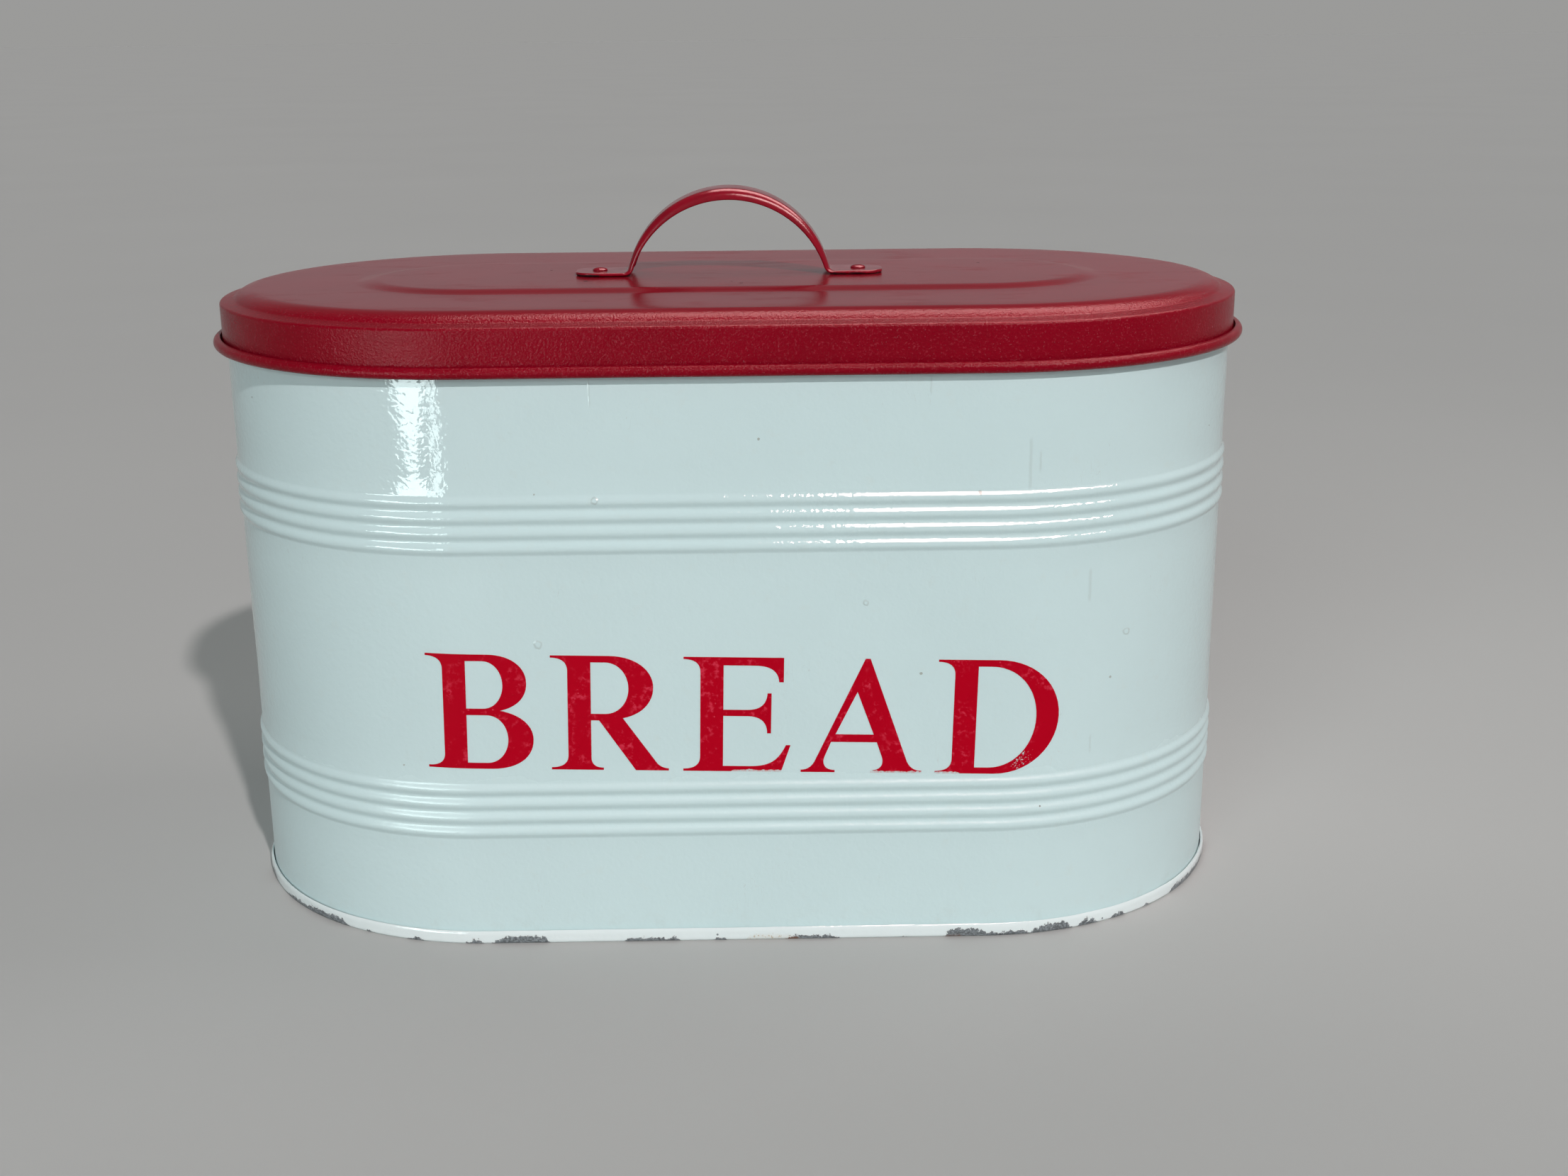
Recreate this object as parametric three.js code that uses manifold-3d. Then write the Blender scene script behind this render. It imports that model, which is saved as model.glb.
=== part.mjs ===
// Oval steel bread bin with a lift-off lid: a beaded wall seamed to a pressed base, a pressed lid with
// an open rolled rim, an arched strap handle on two rivets, and five letter transfers on the front.
// Millimetres, +Z up. The origin is on the standing surface, under the middle of the bin. The bin is
// longest along X and the lettering faces -Y.
//
// Every sheet-metal piece follows one oval: two straight sides joined by half-ellipse ends. A profile
// point is [offset, height], where the offset is measured outwards from the wall's outer face.

import * as THREE from "three";
import { mergeVertices } from "three/addons/utils/BufferGeometryUtils.js";
import Module from "manifold-3d";

const wasm = await Module();
wasm.setup();

// ---- Driving dimensions ----

const gap = 0.3; // between faces that touch on the real object
const sheet = 0.6; // steel sheet of the wall, base and lid
const endSteps = 20; // flat steps round each end of the oval

const bin = {
  straightHalf: 79, // half the straight side
  endReach: 86, // how far each rounded end reaches beyond the straight side
  halfDepth: 82.5,
  lidSeat: 196.6, // height of the wall's rolled top edge
};

const bead = {
  count: 4, // in each band
  pitch: 4.8,
  width: 3.8,
  height: 1.0,
  lowerBand: 45.2, // height of the lower band's middle
  upperBand: 59.2, // depth of the upper band's middle below the wall's top
};

const seam = {
  height: 4.6,
  reach: 1.4, // how far the base seam stands out from the wall
  wallGap: 0.55, // between the wall and the seam's inner side
};

const lid = {
  skirtGap: 0.65, // between the wall and the skirt
  skirtDepth: 15.5, // from the ledge down to the bottom of the rolled rim
  ledgeInner: -3.4, // where the ledge meets the shoulder
  ledgeFall: 0.75, // from there out to the skirt's corner
  seatFall: 0.3, // from there out to the wall's rolled edge
  panelEdge: -10, // where the shoulder meets the flat panel
  ringEdge: -41.5, // foot of the raised middle panel
  ringSlope: 8.5, // width of the slope up to the raised panel
  ringRise: 1,
  shoulderRise: 2.9,
  cornerRadius: 0.7,
  curlRadius: 1.5, // to the middle of the sheet
  curlTurn: 285, // degrees
};

const topCurl = {
  radius: 1.5, // to the middle of the sheet
  turn: 250,
};

const handle = {
  thickness: 1.0,
  halfWidth: 9,
  footHalfWidth: 8,
  archRadius: 33.6, // to the middle of the strap
  archCentre: 5.7, // how far the arch's centre lies below the raised panel
  lip: 2.8, // how far the edges are turned down at the top of the arch
  footLip: 0.9,
  bend: 2.2, // radius of the bend into each tab
  tabLength: 15.9, // from the bend to the tab's end
  tabCorner: 6.5,
  archSteps: 22,
};

const rivet = {
  shank: 1.4,
  head: 2.5,
  domeHeight: 1.1,
  tail: 2.3,
  tailHeight: 0.9,
};

const lettering = {
  capHeight: 37.4,
  centre: 3, // middle of the word
  baseline: 60.2, // height of the baseline at the word's left end
  slope: -1.5, // degrees: the transfers run slightly downhill
  stem: 7.1,
  bar: 2.1, // thin strokes
  serif: 0.7,
  serifReach: 5.2, // how far a serif stands out from its stem
  bracket: 4.2,
  film: 0.3,
  bandMargin: 6, // how far the film that they are cut from runs past them
};
const letterGaps = { b: 5.5, r: 4.5, e: 3.3, a: 4.1, d: 0 }; // to the next letter

const enamel = { color: 0xdfe6e6, roughness: 0.16, metalness: 0 };
const redLacquer = { color: 0x9c0a20, roughness: 0.34, metalness: 0 };
const barePan = { color: 0xd5dada, roughness: 0.3, metalness: 0 };
const redFilm = { color: 0xb00a22, roughness: 0.4, metalness: 0 };

// ---- Heights that follow from the dimensions ----

const ledgeTop = bin.lidSeat + gap + sheet + lid.seatFall;
const panelTop = ledgeTop + lid.shoulderRise;
const raisedTop = panelTop + lid.ringRise;
const tabBottom = raisedTop + gap;
const tabMiddle = tabBottom + handle.thickness / 2;
const tabTop = tabBottom + handle.thickness;
const archHeight = raisedTop - handle.archCentre; // of the arch's centre
const bendRise = tabMiddle + handle.bend - archHeight;
const bendX = Math.sqrt((handle.archRadius + handle.bend) ** 2 - bendRise ** 2);
const rivetX = bendX + handle.tabLength / 2;
const flatInset = 6; // a flat middle starts this far in from the bend round it

const object = new THREE.Group();

// Adds one named piece to the object.
function addPiece(name, geometry, finish) {
  const mesh = new THREE.Mesh(geometry, new THREE.MeshStandardMaterial(finish));
  mesh.name = name;
  object.add(mesh);
  return mesh;
}

// ---- Solids: joining and cutting ----

function toSolid(geometry) {
  const plain = geometry.clone();
  plain.deleteAttribute("normal");
  plain.deleteAttribute("uv");
  const merged = mergeVertices(plain, 1e-4);
  return new wasm.Manifold(
    new wasm.Mesh({
      numProp: 3,
      vertProperties: merged.attributes.position.array,
      triVerts: new Uint32Array(merged.index.array),
    }),
  );
}

function toGeometry(solid) {
  const mesh = solid.getMesh();
  const geometry = new THREE.BufferGeometry();
  geometry.setAttribute("position", new THREE.BufferAttribute(mesh.vertProperties, 3));
  geometry.setIndex(new THREE.BufferAttribute(mesh.triVerts, 1));
  geometry.computeVertexNormals();
  return geometry;
}

// ---- Surfaces made of rings ----

// Joins rings of points, each with the same count, into one closed surface. An open run of rings is
// closed by a fan over its first and its last ring; a closed run meets itself.
function ringSurface(rings, closed) {
  const count = rings[0].length;
  const points = rings.flat();
  const faces = [];
  const spans = closed ? rings.length : rings.length - 1;
  for (let i = 0; i < spans; i++) {
    const low = i * count;
    const high = ((i + 1) % rings.length) * count;
    for (let j = 0; j < count; j++) {
      const next = (j + 1) % count;
      faces.push(low + j, low + next, high + next);
      faces.push(low + j, high + next, high + j);
    }
  }
  if (!closed) {
    const last = (rings.length - 1) * count;
    const middles = [rings[0], rings[rings.length - 1]].map((ring) =>
      ring.reduce((sum, p) => sum.add(p), new THREE.Vector3()).divideScalar(count),
    );
    const first = points.length;
    points.push(...middles);
    for (let j = 0; j < count; j++) {
      const next = (j + 1) % count;
      faces.push(first, next, j);
      faces.push(first + 1, last + j, last + next);
    }
  }
  const geometry = new THREE.BufferGeometry().setFromPoints(points);
  geometry.setIndex(faces);
  geometry.computeVertexNormals();
  return geometry;
}

// The oval, counter-clockwise from above, at an offset outwards from the wall's outer face.
function ovalRing(offset, height) {
  const ring = [];
  for (const side of [1, -1]) {
    for (let i = 0; i <= endSteps; i++) {
      const angle = Math.PI * (i / endSteps - 0.5);
      ring.push(
        new THREE.Vector3(
          side * (bin.straightHalf + (bin.endReach + offset) * Math.cos(angle)),
          side * (bin.halfDepth + offset) * Math.sin(angle),
          height,
        ),
      );
    }
  }
  return ring;
}

function ovalSurface(profile, closed) {
  return ringSurface(profile.map(([offset, height]) => ovalRing(offset, height)), closed);
}

// ---- Profiles ----

// Points on an arc in the [offset, height] plane, angles in degrees, anticlockwise from outwards.
function arc(offset, height, radius, from, to, steps) {
  const points = [];
  for (let i = 0; i <= steps; i++) {
    const angle = THREE.MathUtils.degToRad(from + ((to - from) * i) / steps);
    points.push([offset + radius * Math.cos(angle), height + radius * Math.sin(angle)]);
  }
  return points;
}

// One side of a bent sheet: its middle line moved to its right by a distance, mitred at the bends.
function besideLine(line, distance) {
  return line.map((point, i) => {
    const before = line[Math.max(i - 1, 0)];
    const after = line[Math.min(i + 1, line.length - 1)];
    const arriving = new THREE.Vector2(point[0] - before[0], point[1] - before[1]);
    const leaving = new THREE.Vector2(after[0] - point[0], after[1] - point[1]);
    const a = (i === 0 ? leaving : arriving).clone().normalize();
    const b = (i === line.length - 1 ? arriving : leaving).clone().normalize();
    const mitre = 1 + a.dot(b);
    return [point[0] + (distance * (a.y + b.y)) / mitre, point[1] - (distance * (a.x + b.x)) / mitre];
  });
}

// Both sides of a bent sheet: along the right side of its middle line, then back along the left.
function sheetProfile(line, thickness) {
  const right = besideLine(line, thickness / 2);
  const left = besideLine(line, -thickness / 2);
  return [...right, ...left.reverse()];
}

// ---- Bin wall ----

// One band of beads on the outer face, upwards.
function beadBand(middle) {
  const points = [];
  for (let i = 0; i < bead.count; i++) {
    const centre = middle + (i - (bead.count - 1) / 2) * bead.pitch;
    points.push([0, centre - bead.width / 2]);
    points.push([bead.height * 0.8, centre - bead.width * 0.24]);
    points.push([bead.height, centre]);
    points.push([bead.height * 0.8, centre + bead.width * 0.24]);
    points.push([0, centre + bead.width / 2]);
  }
  return points;
}

function wall() {
  const bottom = sheet + gap;
  const middle = -sheet / 2;
  const curlCentre = middle - topCurl.radius;
  const curlHeight = bin.lidSeat - sheet / 2 - topCurl.radius;
  const outer = arc(curlCentre, curlHeight, topCurl.radius + sheet / 2, 0, topCurl.turn, 6);
  const inner = arc(curlCentre, curlHeight, topCurl.radius - sheet / 2, topCurl.turn, 0, 6);
  return ovalSurface(
    [[0, bottom], ...beadBand(bead.lowerBand), ...beadBand(bin.lidSeat - bead.upperBand),
      ...outer, ...inner, [-sheet, bottom]],
    true,
  );
}

// ---- Base: a recessed floor whose edge folds down, out and up round the wall's lower edge ----

function basePan() {
  const innerLeg = -sheet - seam.wallGap - sheet / 2;
  const outerLeg = seam.reach - sheet / 2;
  const floor = seam.height - sheet;
  const low = sheet / 2;
  const line = [
    [innerLeg - flatInset, floor],
    [innerLeg - 0.5, floor],
    [innerLeg, floor - 0.5],
    [innerLeg, low],
    [outerLeg - 0.5, low],
    [outerLeg, low + 0.5],
    [outerLeg, seam.height - 0.9],
    [outerLeg - 0.25, seam.height],
  ];
  return ovalSurface(sheetProfile(line, sheet), false);
}

// ---- Lid ----

// A sheet with the two rivet holes drilled through it.
function drilled(sheetSolid) {
  const depth = 4 * (handle.thickness + sheet);
  return [-rivetX, rivetX].reduce((solid, x) => {
    const drill = new THREE.CylinderGeometry(rivet.shank + gap, rivet.shank + gap, depth, 20);
    drill.rotateX(Math.PI / 2);
    drill.translate(x, 0, tabBottom);
    return solid.subtract(toSolid(drill));
  }, sheetSolid);
}

function lidLine() {
  const half = sheet / 2;
  const skirt = lid.skirtGap + half;
  const ledge = ledgeTop - half;
  const panel = panelTop - half;
  const shoulder = new THREE.QuadraticBezierCurve(
    new THREE.Vector2(lid.ledgeInner, ledge + 0.1),
    new THREE.Vector2(lid.ledgeInner - 2.2, panel - 0.2),
    new THREE.Vector2(lid.panelEdge, panel),
  );
  const corner = lid.cornerRadius;
  const curlCentre = skirt + lid.curlRadius;
  const curlHeight = ledgeTop - lid.skirtDepth + half + lid.curlRadius;
  return [
    [lid.ringEdge - lid.ringSlope - flatInset, panel + lid.ringRise],
    [lid.ringEdge - lid.ringSlope, panel + lid.ringRise],
    [lid.ringEdge, panel],
    ...shoulder.getPoints(5).reverse().map((p) => [p.x, p.y]),
    ...arc(skirt - corner, ledge - lid.ledgeFall - corner, corner, 78, 0, 3),
    ...arc(curlCentre, curlHeight, lid.curlRadius, 180, 180 + lid.curlTurn, 10),
  ];
}

function lidShell() {
  const shell = toSolid(ovalSurface(sheetProfile(lidLine(), sheet), false));
  return drilled(shell);
}

// ---- Handle: a strap from tab to tab over an arch, with its edges turned down along the arch ----

// Stations along the strap: place, upward side, half width and depth of the turned-down edges.
function handleStations() {
  const meet = Math.atan2(bendRise, bendX);
  const stations = [];
  // The tab, from its rounded end to the bend.
  for (const along of [0, 0.4, 1.4, 3.6, handle.tabCorner]) {
    const back = handle.tabCorner - along;
    const rounding = handle.tabCorner - Math.sqrt(handle.tabCorner ** 2 - back ** 2);
    stations.push({
      x: bendX + handle.tabLength - along,
      z: tabMiddle,
      up: Math.PI / 2,
      halfWidth: handle.footHalfWidth - rounding,
      lip: 0,
    });
  }
  // The bend, from level to the side of the arch.
  for (let i = 0; i <= 5; i++) {
    const turn = (Math.PI / 2 - meet) * (i / 5);
    stations.push({
      x: bendX - handle.bend * Math.sin(turn),
      z: tabMiddle + handle.bend * (1 - Math.cos(turn)),
      up: Math.PI / 2 - turn,
      halfWidth: handle.footHalfWidth,
      lip: handle.footLip * (i / 5),
    });
  }
  // The arch, from the bend to the top.
  for (let i = 1; i <= handle.archSteps / 2; i++) {
    const angle = meet + (Math.PI / 2 - meet) * (i / (handle.archSteps / 2));
    const rise = Math.sin((Math.PI / 2) * (i / (handle.archSteps / 2)));
    stations.push({
      x: handle.archRadius * Math.cos(angle),
      z: archHeight + handle.archRadius * Math.sin(angle),
      up: angle,
      halfWidth: THREE.MathUtils.lerp(handle.footHalfWidth, handle.halfWidth, rise),
      lip: THREE.MathUtils.lerp(handle.footLip, handle.lip, rise),
    });
  }
  const leftHalf = stations.slice(0, -1).map((s) => ({ ...s, x: -s.x, up: Math.PI - s.up }));
  return [...leftHalf, ...stations.reverse()];
}

// The strap's section at a station, as points across the strap and along its upward side.
function strapSection(station) {
  const w = station.halfWidth;
  const line = [
    [-w, -station.lip],
    [-w * 0.97, -station.lip * 0.5],
    [-w * 0.86, -station.lip * 0.18],
    [0, 0],
    [w * 0.86, -station.lip * 0.18],
    [w * 0.97, -station.lip * 0.5],
    [w, -station.lip],
  ];
  return sheetProfile(line, handle.thickness);
}

function handleStrap() {
  const rings = handleStations().map((station) =>
    strapSection(station).map(
      ([across, above]) =>
        new THREE.Vector3(
          station.x + above * Math.cos(station.up),
          across,
          station.z + above * Math.sin(station.up),
        ),
    ),
  );
  const strap = toSolid(ringSurface(rings, false));
  return drilled(strap);
}

// ---- Rivets: a domed head on the tab, a shank through both sheets, and a set tail inside the lid ----

function rivetBody() {
  const headBase = tabTop + gap;
  const tailTop = raisedTop - sheet - gap;
  const profile = [
    new THREE.Vector2(0, tailTop - rivet.tailHeight),
    new THREE.Vector2(rivet.tail * 0.8, tailTop - rivet.tailHeight),
    new THREE.Vector2(rivet.tail, tailTop - rivet.tailHeight * 0.5),
    new THREE.Vector2(rivet.tail, tailTop),
    new THREE.Vector2(rivet.shank, tailTop),
    new THREE.Vector2(rivet.shank, headBase),
    new THREE.Vector2(rivet.head, headBase),
  ];
  for (let i = 1; i <= 4; i++) {
    const angle = (Math.PI / 2) * (i / 4);
    const height = headBase + rivet.domeHeight * Math.sin(angle);
    profile.push(new THREE.Vector2(rivet.head * Math.cos(angle), height));
  }
  profile[profile.length - 1].x = 0;
  return new THREE.LatheGeometry(profile, 20).rotateX(Math.PI / 2);
}

// ---- Lettering: plain upright capitals with bracketed serifs, each outline from its lower left ----

const cap = lettering.capHeight;
const bar = lettering.bar;
const serif = lettering.serif;
const stemLeft = lettering.serifReach;
const stemRight = stemLeft + lettering.stem;

// The left side of a stem, downwards, with a bracketed serif at each end.
function stemSide(shape) {
  shape.moveTo(0, cap);
  shape.lineTo(0, cap - serif);
  shape.quadraticCurveTo(stemLeft, cap - serif, stemLeft, cap - serif - lettering.bracket);
  shape.lineTo(stemLeft, serif + lettering.bracket);
  shape.quadraticCurveTo(stemLeft, serif, 0, serif);
  shape.lineTo(0, 0);
}

// A bowl's outer edge, upwards from its foot: level, round the widest point, and level again.
function bowlEdge(shape, flat, widest, low, high) {
  const round = (widest - flat) * 0.56;
  const rise = (high - low) * 0.28;
  const middle = (low + high) / 2;
  shape.lineTo(flat, low);
  shape.bezierCurveTo(flat + round, low, widest, middle - rise, widest, middle);
  shape.bezierCurveTo(widest, middle + rise, flat + round, high, flat, high);
}

// A counter inside a bowl: straight on the stem's side and round on the other.
function counter(flat, widest, low, high) {
  const hole = new THREE.Path();
  hole.moveTo(stemRight, low);
  bowlEdge(hole, flat, widest, low, high);
  hole.lineTo(stemRight, high);
  hole.closePath();
  return hole;
}

function letterB() {
  const shape = new THREE.Shape();
  stemSide(shape);
  shape.lineTo(20, 0);
  shape.bezierCurveTo(27.4, 0, 32.8, 3.6, 32.8, 9.8);
  shape.bezierCurveTo(32.8, 14.6, 28.8, 18, 22.6, 19.2);
  shape.bezierCurveTo(27.6, 20.4, 30.9, 23.4, 30.9, 28.2);
  shape.bezierCurveTo(30.9, 33.8, 26, cap, 19, cap);
  shape.closePath();
  shape.holes.push(counter(18.5, 25, 1.9, 17.7), counter(17.5, 23.6, 19.8, cap - bar));
  return { shape, width: 32.8 };
}

function letterR() {
  const waist = 16.4;
  const shape = new THREE.Shape();
  stemSide(shape);
  shape.lineTo(stemRight + 3.8, 0);
  shape.lineTo(stemRight + 3.8, serif);
  shape.quadraticCurveTo(stemRight, serif, stemRight, serif + 3.4);
  shape.lineTo(stemRight, waist);
  shape.lineTo(14.8, waist);
  shape.lineTo(26.1, 0);
  shape.lineTo(36.3, 0);
  shape.lineTo(36.3, serif);
  shape.quadraticCurveTo(33.9, 0.8, 32.6, 2.5);
  shape.lineTo(22.1, 17.2);
  shape.bezierCurveTo(28, 18.4, 31.5, 22.4, 31.5, 27.3);
  shape.bezierCurveTo(31.5, 33, 26, cap, 18, cap);
  shape.closePath();
  shape.holes.push(counter(16.8, 23.9, waist + 2.1, cap - bar));
  return { shape, width: 36.3 };
}

function letterE() {
  const shape = new THREE.Shape();
  stemSide(shape);
  shape.lineTo(30.4, 0);
  shape.lineTo(33.2, 8.8);
  shape.lineTo(31.8, 8.8);
  shape.bezierCurveTo(29.4, 3.6, 27, 1.7, 20.5, 1.7);
  shape.lineTo(stemRight, 1.7);
  shape.lineTo(stemRight, 18.3);
  shape.lineTo(19.6, 18.3);
  shape.bezierCurveTo(23.6, 18.3, 25.9, 16.6, 25.9, 12.7);
  shape.lineTo(27.1, 12.7);
  shape.lineTo(27.1, 25.8);
  shape.lineTo(25.9, 25.8);
  shape.bezierCurveTo(25.6, 22, 23.6, 20.3, 19.6, 20.3);
  shape.lineTo(stemRight, 20.3);
  shape.lineTo(stemRight, cap - 2.6);
  shape.lineTo(22, cap - 2.6);
  shape.bezierCurveTo(26.8, cap - 2.6, 29.2, cap - 4.4, 29.4, cap - 7.9);
  shape.lineTo(30.8, cap - 7.9);
  shape.lineTo(30.8, cap);
  shape.closePath();
  return { shape, width: 33.2 };
}

function letterA() {
  const shape = new THREE.Shape();
  shape.moveTo(19.3, cap);
  shape.lineTo(4.3, 3.6);
  shape.quadraticCurveTo(2.9, serif, 0, serif);
  shape.lineTo(0, 0);
  shape.lineTo(10.6, 0);
  shape.lineTo(10.6, serif);
  shape.bezierCurveTo(7.6, serif, 6.4, 2.6, 7.4, 5.3);
  shape.lineTo(9.3, 10.1);
  shape.lineTo(23.5, 10.1);
  shape.lineTo(25.2, 5.3);
  shape.bezierCurveTo(26, 2.8, 25, serif, 21.8, serif);
  shape.lineTo(21.8, 0);
  shape.lineTo(37.7, 0);
  shape.lineTo(37.7, serif);
  shape.quadraticCurveTo(34.4, serif, 33, 3.9);
  shape.lineTo(20.8, cap);
  shape.closePath();
  const inside = new THREE.Path();
  inside.moveTo(17.1, 26.6);
  inside.lineTo(10.6, 12.6);
  inside.lineTo(22.5, 12.6);
  inside.closePath();
  shape.holes.push(inside);
  return { shape, width: 37.7 };
}

function letterD() {
  const shape = new THREE.Shape();
  stemSide(shape);
  bowlEdge(shape, 18.5, 38.3, 0, cap);
  shape.closePath();
  shape.holes.push(counter(16.6, 31.1, 2, cap - bar));
  return { shape, width: 38.3 };
}

const letters = { b: letterB(), r: letterR(), e: letterE(), a: letterA(), d: letterD() };
const wordWidth = Object.entries(letters).reduce(
  (sum, [name, { width }]) => sum + width + letterGaps[name],
  0,
);

// A film lying just off the front of the wall, which each letter is cut from.
function filmBand() {
  const drop = wordWidth * Math.tan(THREE.MathUtils.degToRad(-lettering.slope));
  const low = lettering.baseline - drop - lettering.bandMargin;
  const high = lettering.baseline + cap + lettering.bandMargin;
  return toSolid(
    ovalSurface(
      [
        [gap + lettering.film, low],
        [gap + lettering.film, high],
        [gap, high],
        [gap, low],
      ],
      true,
    ),
  );
}

// Cuts a letter out of the film, with the letter's lower left corner at a distance along the baseline.
function letterFilm(film, shape, along) {
  const options = { depth: bin.halfDepth, bevelEnabled: false, curveSegments: 7 };
  const block = new THREE.ExtrudeGeometry(shape, options);
  block.translate(along, 0, 0);
  block.rotateZ(THREE.MathUtils.degToRad(lettering.slope));
  block.translate(lettering.centre - wordWidth / 2, lettering.baseline, 0);
  block.rotateX(Math.PI / 2);
  block.translate(0, -bin.halfDepth * 0.3, 0);
  return toGeometry(film.intersect(toSolid(block)));
}

// ---- The pieces ----

addPiece("body_wall", wall(), enamel);
addPiece("base_pan", basePan(), barePan);
addPiece("lid_shell", toGeometry(lidShell()), redLacquer);
addPiece("handle_strap", toGeometry(handleStrap()), redLacquer);
addPiece("rivet_left", rivetBody().translate(-rivetX, 0, 0), redLacquer);
addPiece("rivet_right", rivetBody().translate(rivetX, 0, 0), redLacquer);

const film = filmBand();
let along = 0;
for (const [name, { shape, width }] of Object.entries(letters)) {
  addPiece("letter_" + name, letterFilm(film, shape, along), redFilm);
  along += width + letterGaps[name];
}

export default object;
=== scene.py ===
"""The looks of an oval steel bread bin with a lift-off lid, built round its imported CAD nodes.

Sizes are millimetres in the dataclasses and become metres where a mesh is made. A profile point is
(offset, height): the offset is measured outwards from the wall's outer face, the height from the floor.
"""

import logging
import math
import random
from collections.abc import Callable, Iterable, Sequence
from dataclasses import dataclass, field
from enum import Enum

import bmesh
import bpy
from mathutils import Matrix, Quaternion, Vector, noise


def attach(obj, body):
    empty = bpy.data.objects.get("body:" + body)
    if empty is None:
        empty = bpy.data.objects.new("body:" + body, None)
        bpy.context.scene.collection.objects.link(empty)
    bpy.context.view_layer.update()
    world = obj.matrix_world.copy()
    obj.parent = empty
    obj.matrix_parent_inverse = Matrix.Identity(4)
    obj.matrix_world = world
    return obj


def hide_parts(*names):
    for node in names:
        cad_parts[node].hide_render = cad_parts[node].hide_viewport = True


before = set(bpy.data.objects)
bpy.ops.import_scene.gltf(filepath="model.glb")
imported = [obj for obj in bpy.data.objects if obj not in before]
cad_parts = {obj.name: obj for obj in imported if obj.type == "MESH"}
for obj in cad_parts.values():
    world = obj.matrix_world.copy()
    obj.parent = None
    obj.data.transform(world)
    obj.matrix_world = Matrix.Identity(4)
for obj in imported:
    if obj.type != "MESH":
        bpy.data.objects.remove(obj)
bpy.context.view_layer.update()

log = logging.getLogger("bread_bin")

MM = 0.001
Point = tuple[float, float]
Colour = tuple[float, float, float]


class Body(Enum):
    """The bodies that a piece can ride on."""

    BIN = "bin"
    LID = "lid"


class Slot(Enum):
    """The record's material slots."""

    WHITE_ENAMEL = "white_enamel"
    RED_LACQUER = "red_lacquer"
    RED_GLOSS = "red_gloss"
    RED_FILM = "red_film"


# ---- Shader graphs ----


class Value:
    """A number that varies over a surface. An expression on values adds the Math nodes for it."""

    def __init__(self, graph: "Graph", socket: bpy.types.NodeSocket) -> None:
        """Wraps an output socket of a graph."""
        self.graph = graph
        self.socket = socket

    def math(self, operation: str, *others: "Value | float") -> "Value":
        """Adds a Math node with this value first, and gives its result."""
        return self.graph.math(operation, self, *others)

    def __add__(self, other: "Value | float") -> "Value":
        """self + other."""
        return self.math("ADD", other)

    __radd__ = __add__

    def __sub__(self, other: "Value | float") -> "Value":
        """self - other."""
        return self.math("SUBTRACT", other)

    def __rsub__(self, other: "Value | float") -> "Value":
        """other - self."""
        return self.graph.math("SUBTRACT", other, self)

    def __mul__(self, other: "Value | float") -> "Value":
        """self * other."""
        return self.math("MULTIPLY", other)

    __rmul__ = __mul__

    def __abs__(self) -> "Value":
        """The value without its sign."""
        return self.math("ABSOLUTE")

    def __pow__(self, power: "Value | float") -> "Value":
        """self ** power."""
        return self.math("POWER", power)

    def least(self, other: "Value | float") -> "Value":
        """The smaller of two values."""
        return self.math("MINIMUM", other)

    def most(self, other: "Value | float") -> "Value":
        """The larger of two values."""
        return self.math("MAXIMUM", other)

    def ramp(self, low: float, high: float) -> "Value":
        """A smooth step.

        Args:
            low: Where the result is 0.
            high: Where the result is 1. It may be the smaller of the two.

        Returns:
            A value from 0 to 1.
        """
        if low > high:
            return 1 - self.ramp(high, low)
        settings = {"interpolation_type": "SMOOTHSTEP"}
        links = {"Value": self, "From Min": low, "From Max": high}
        return self.graph.value("ShaderNodeMapRange", settings, links, "Result")


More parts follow.
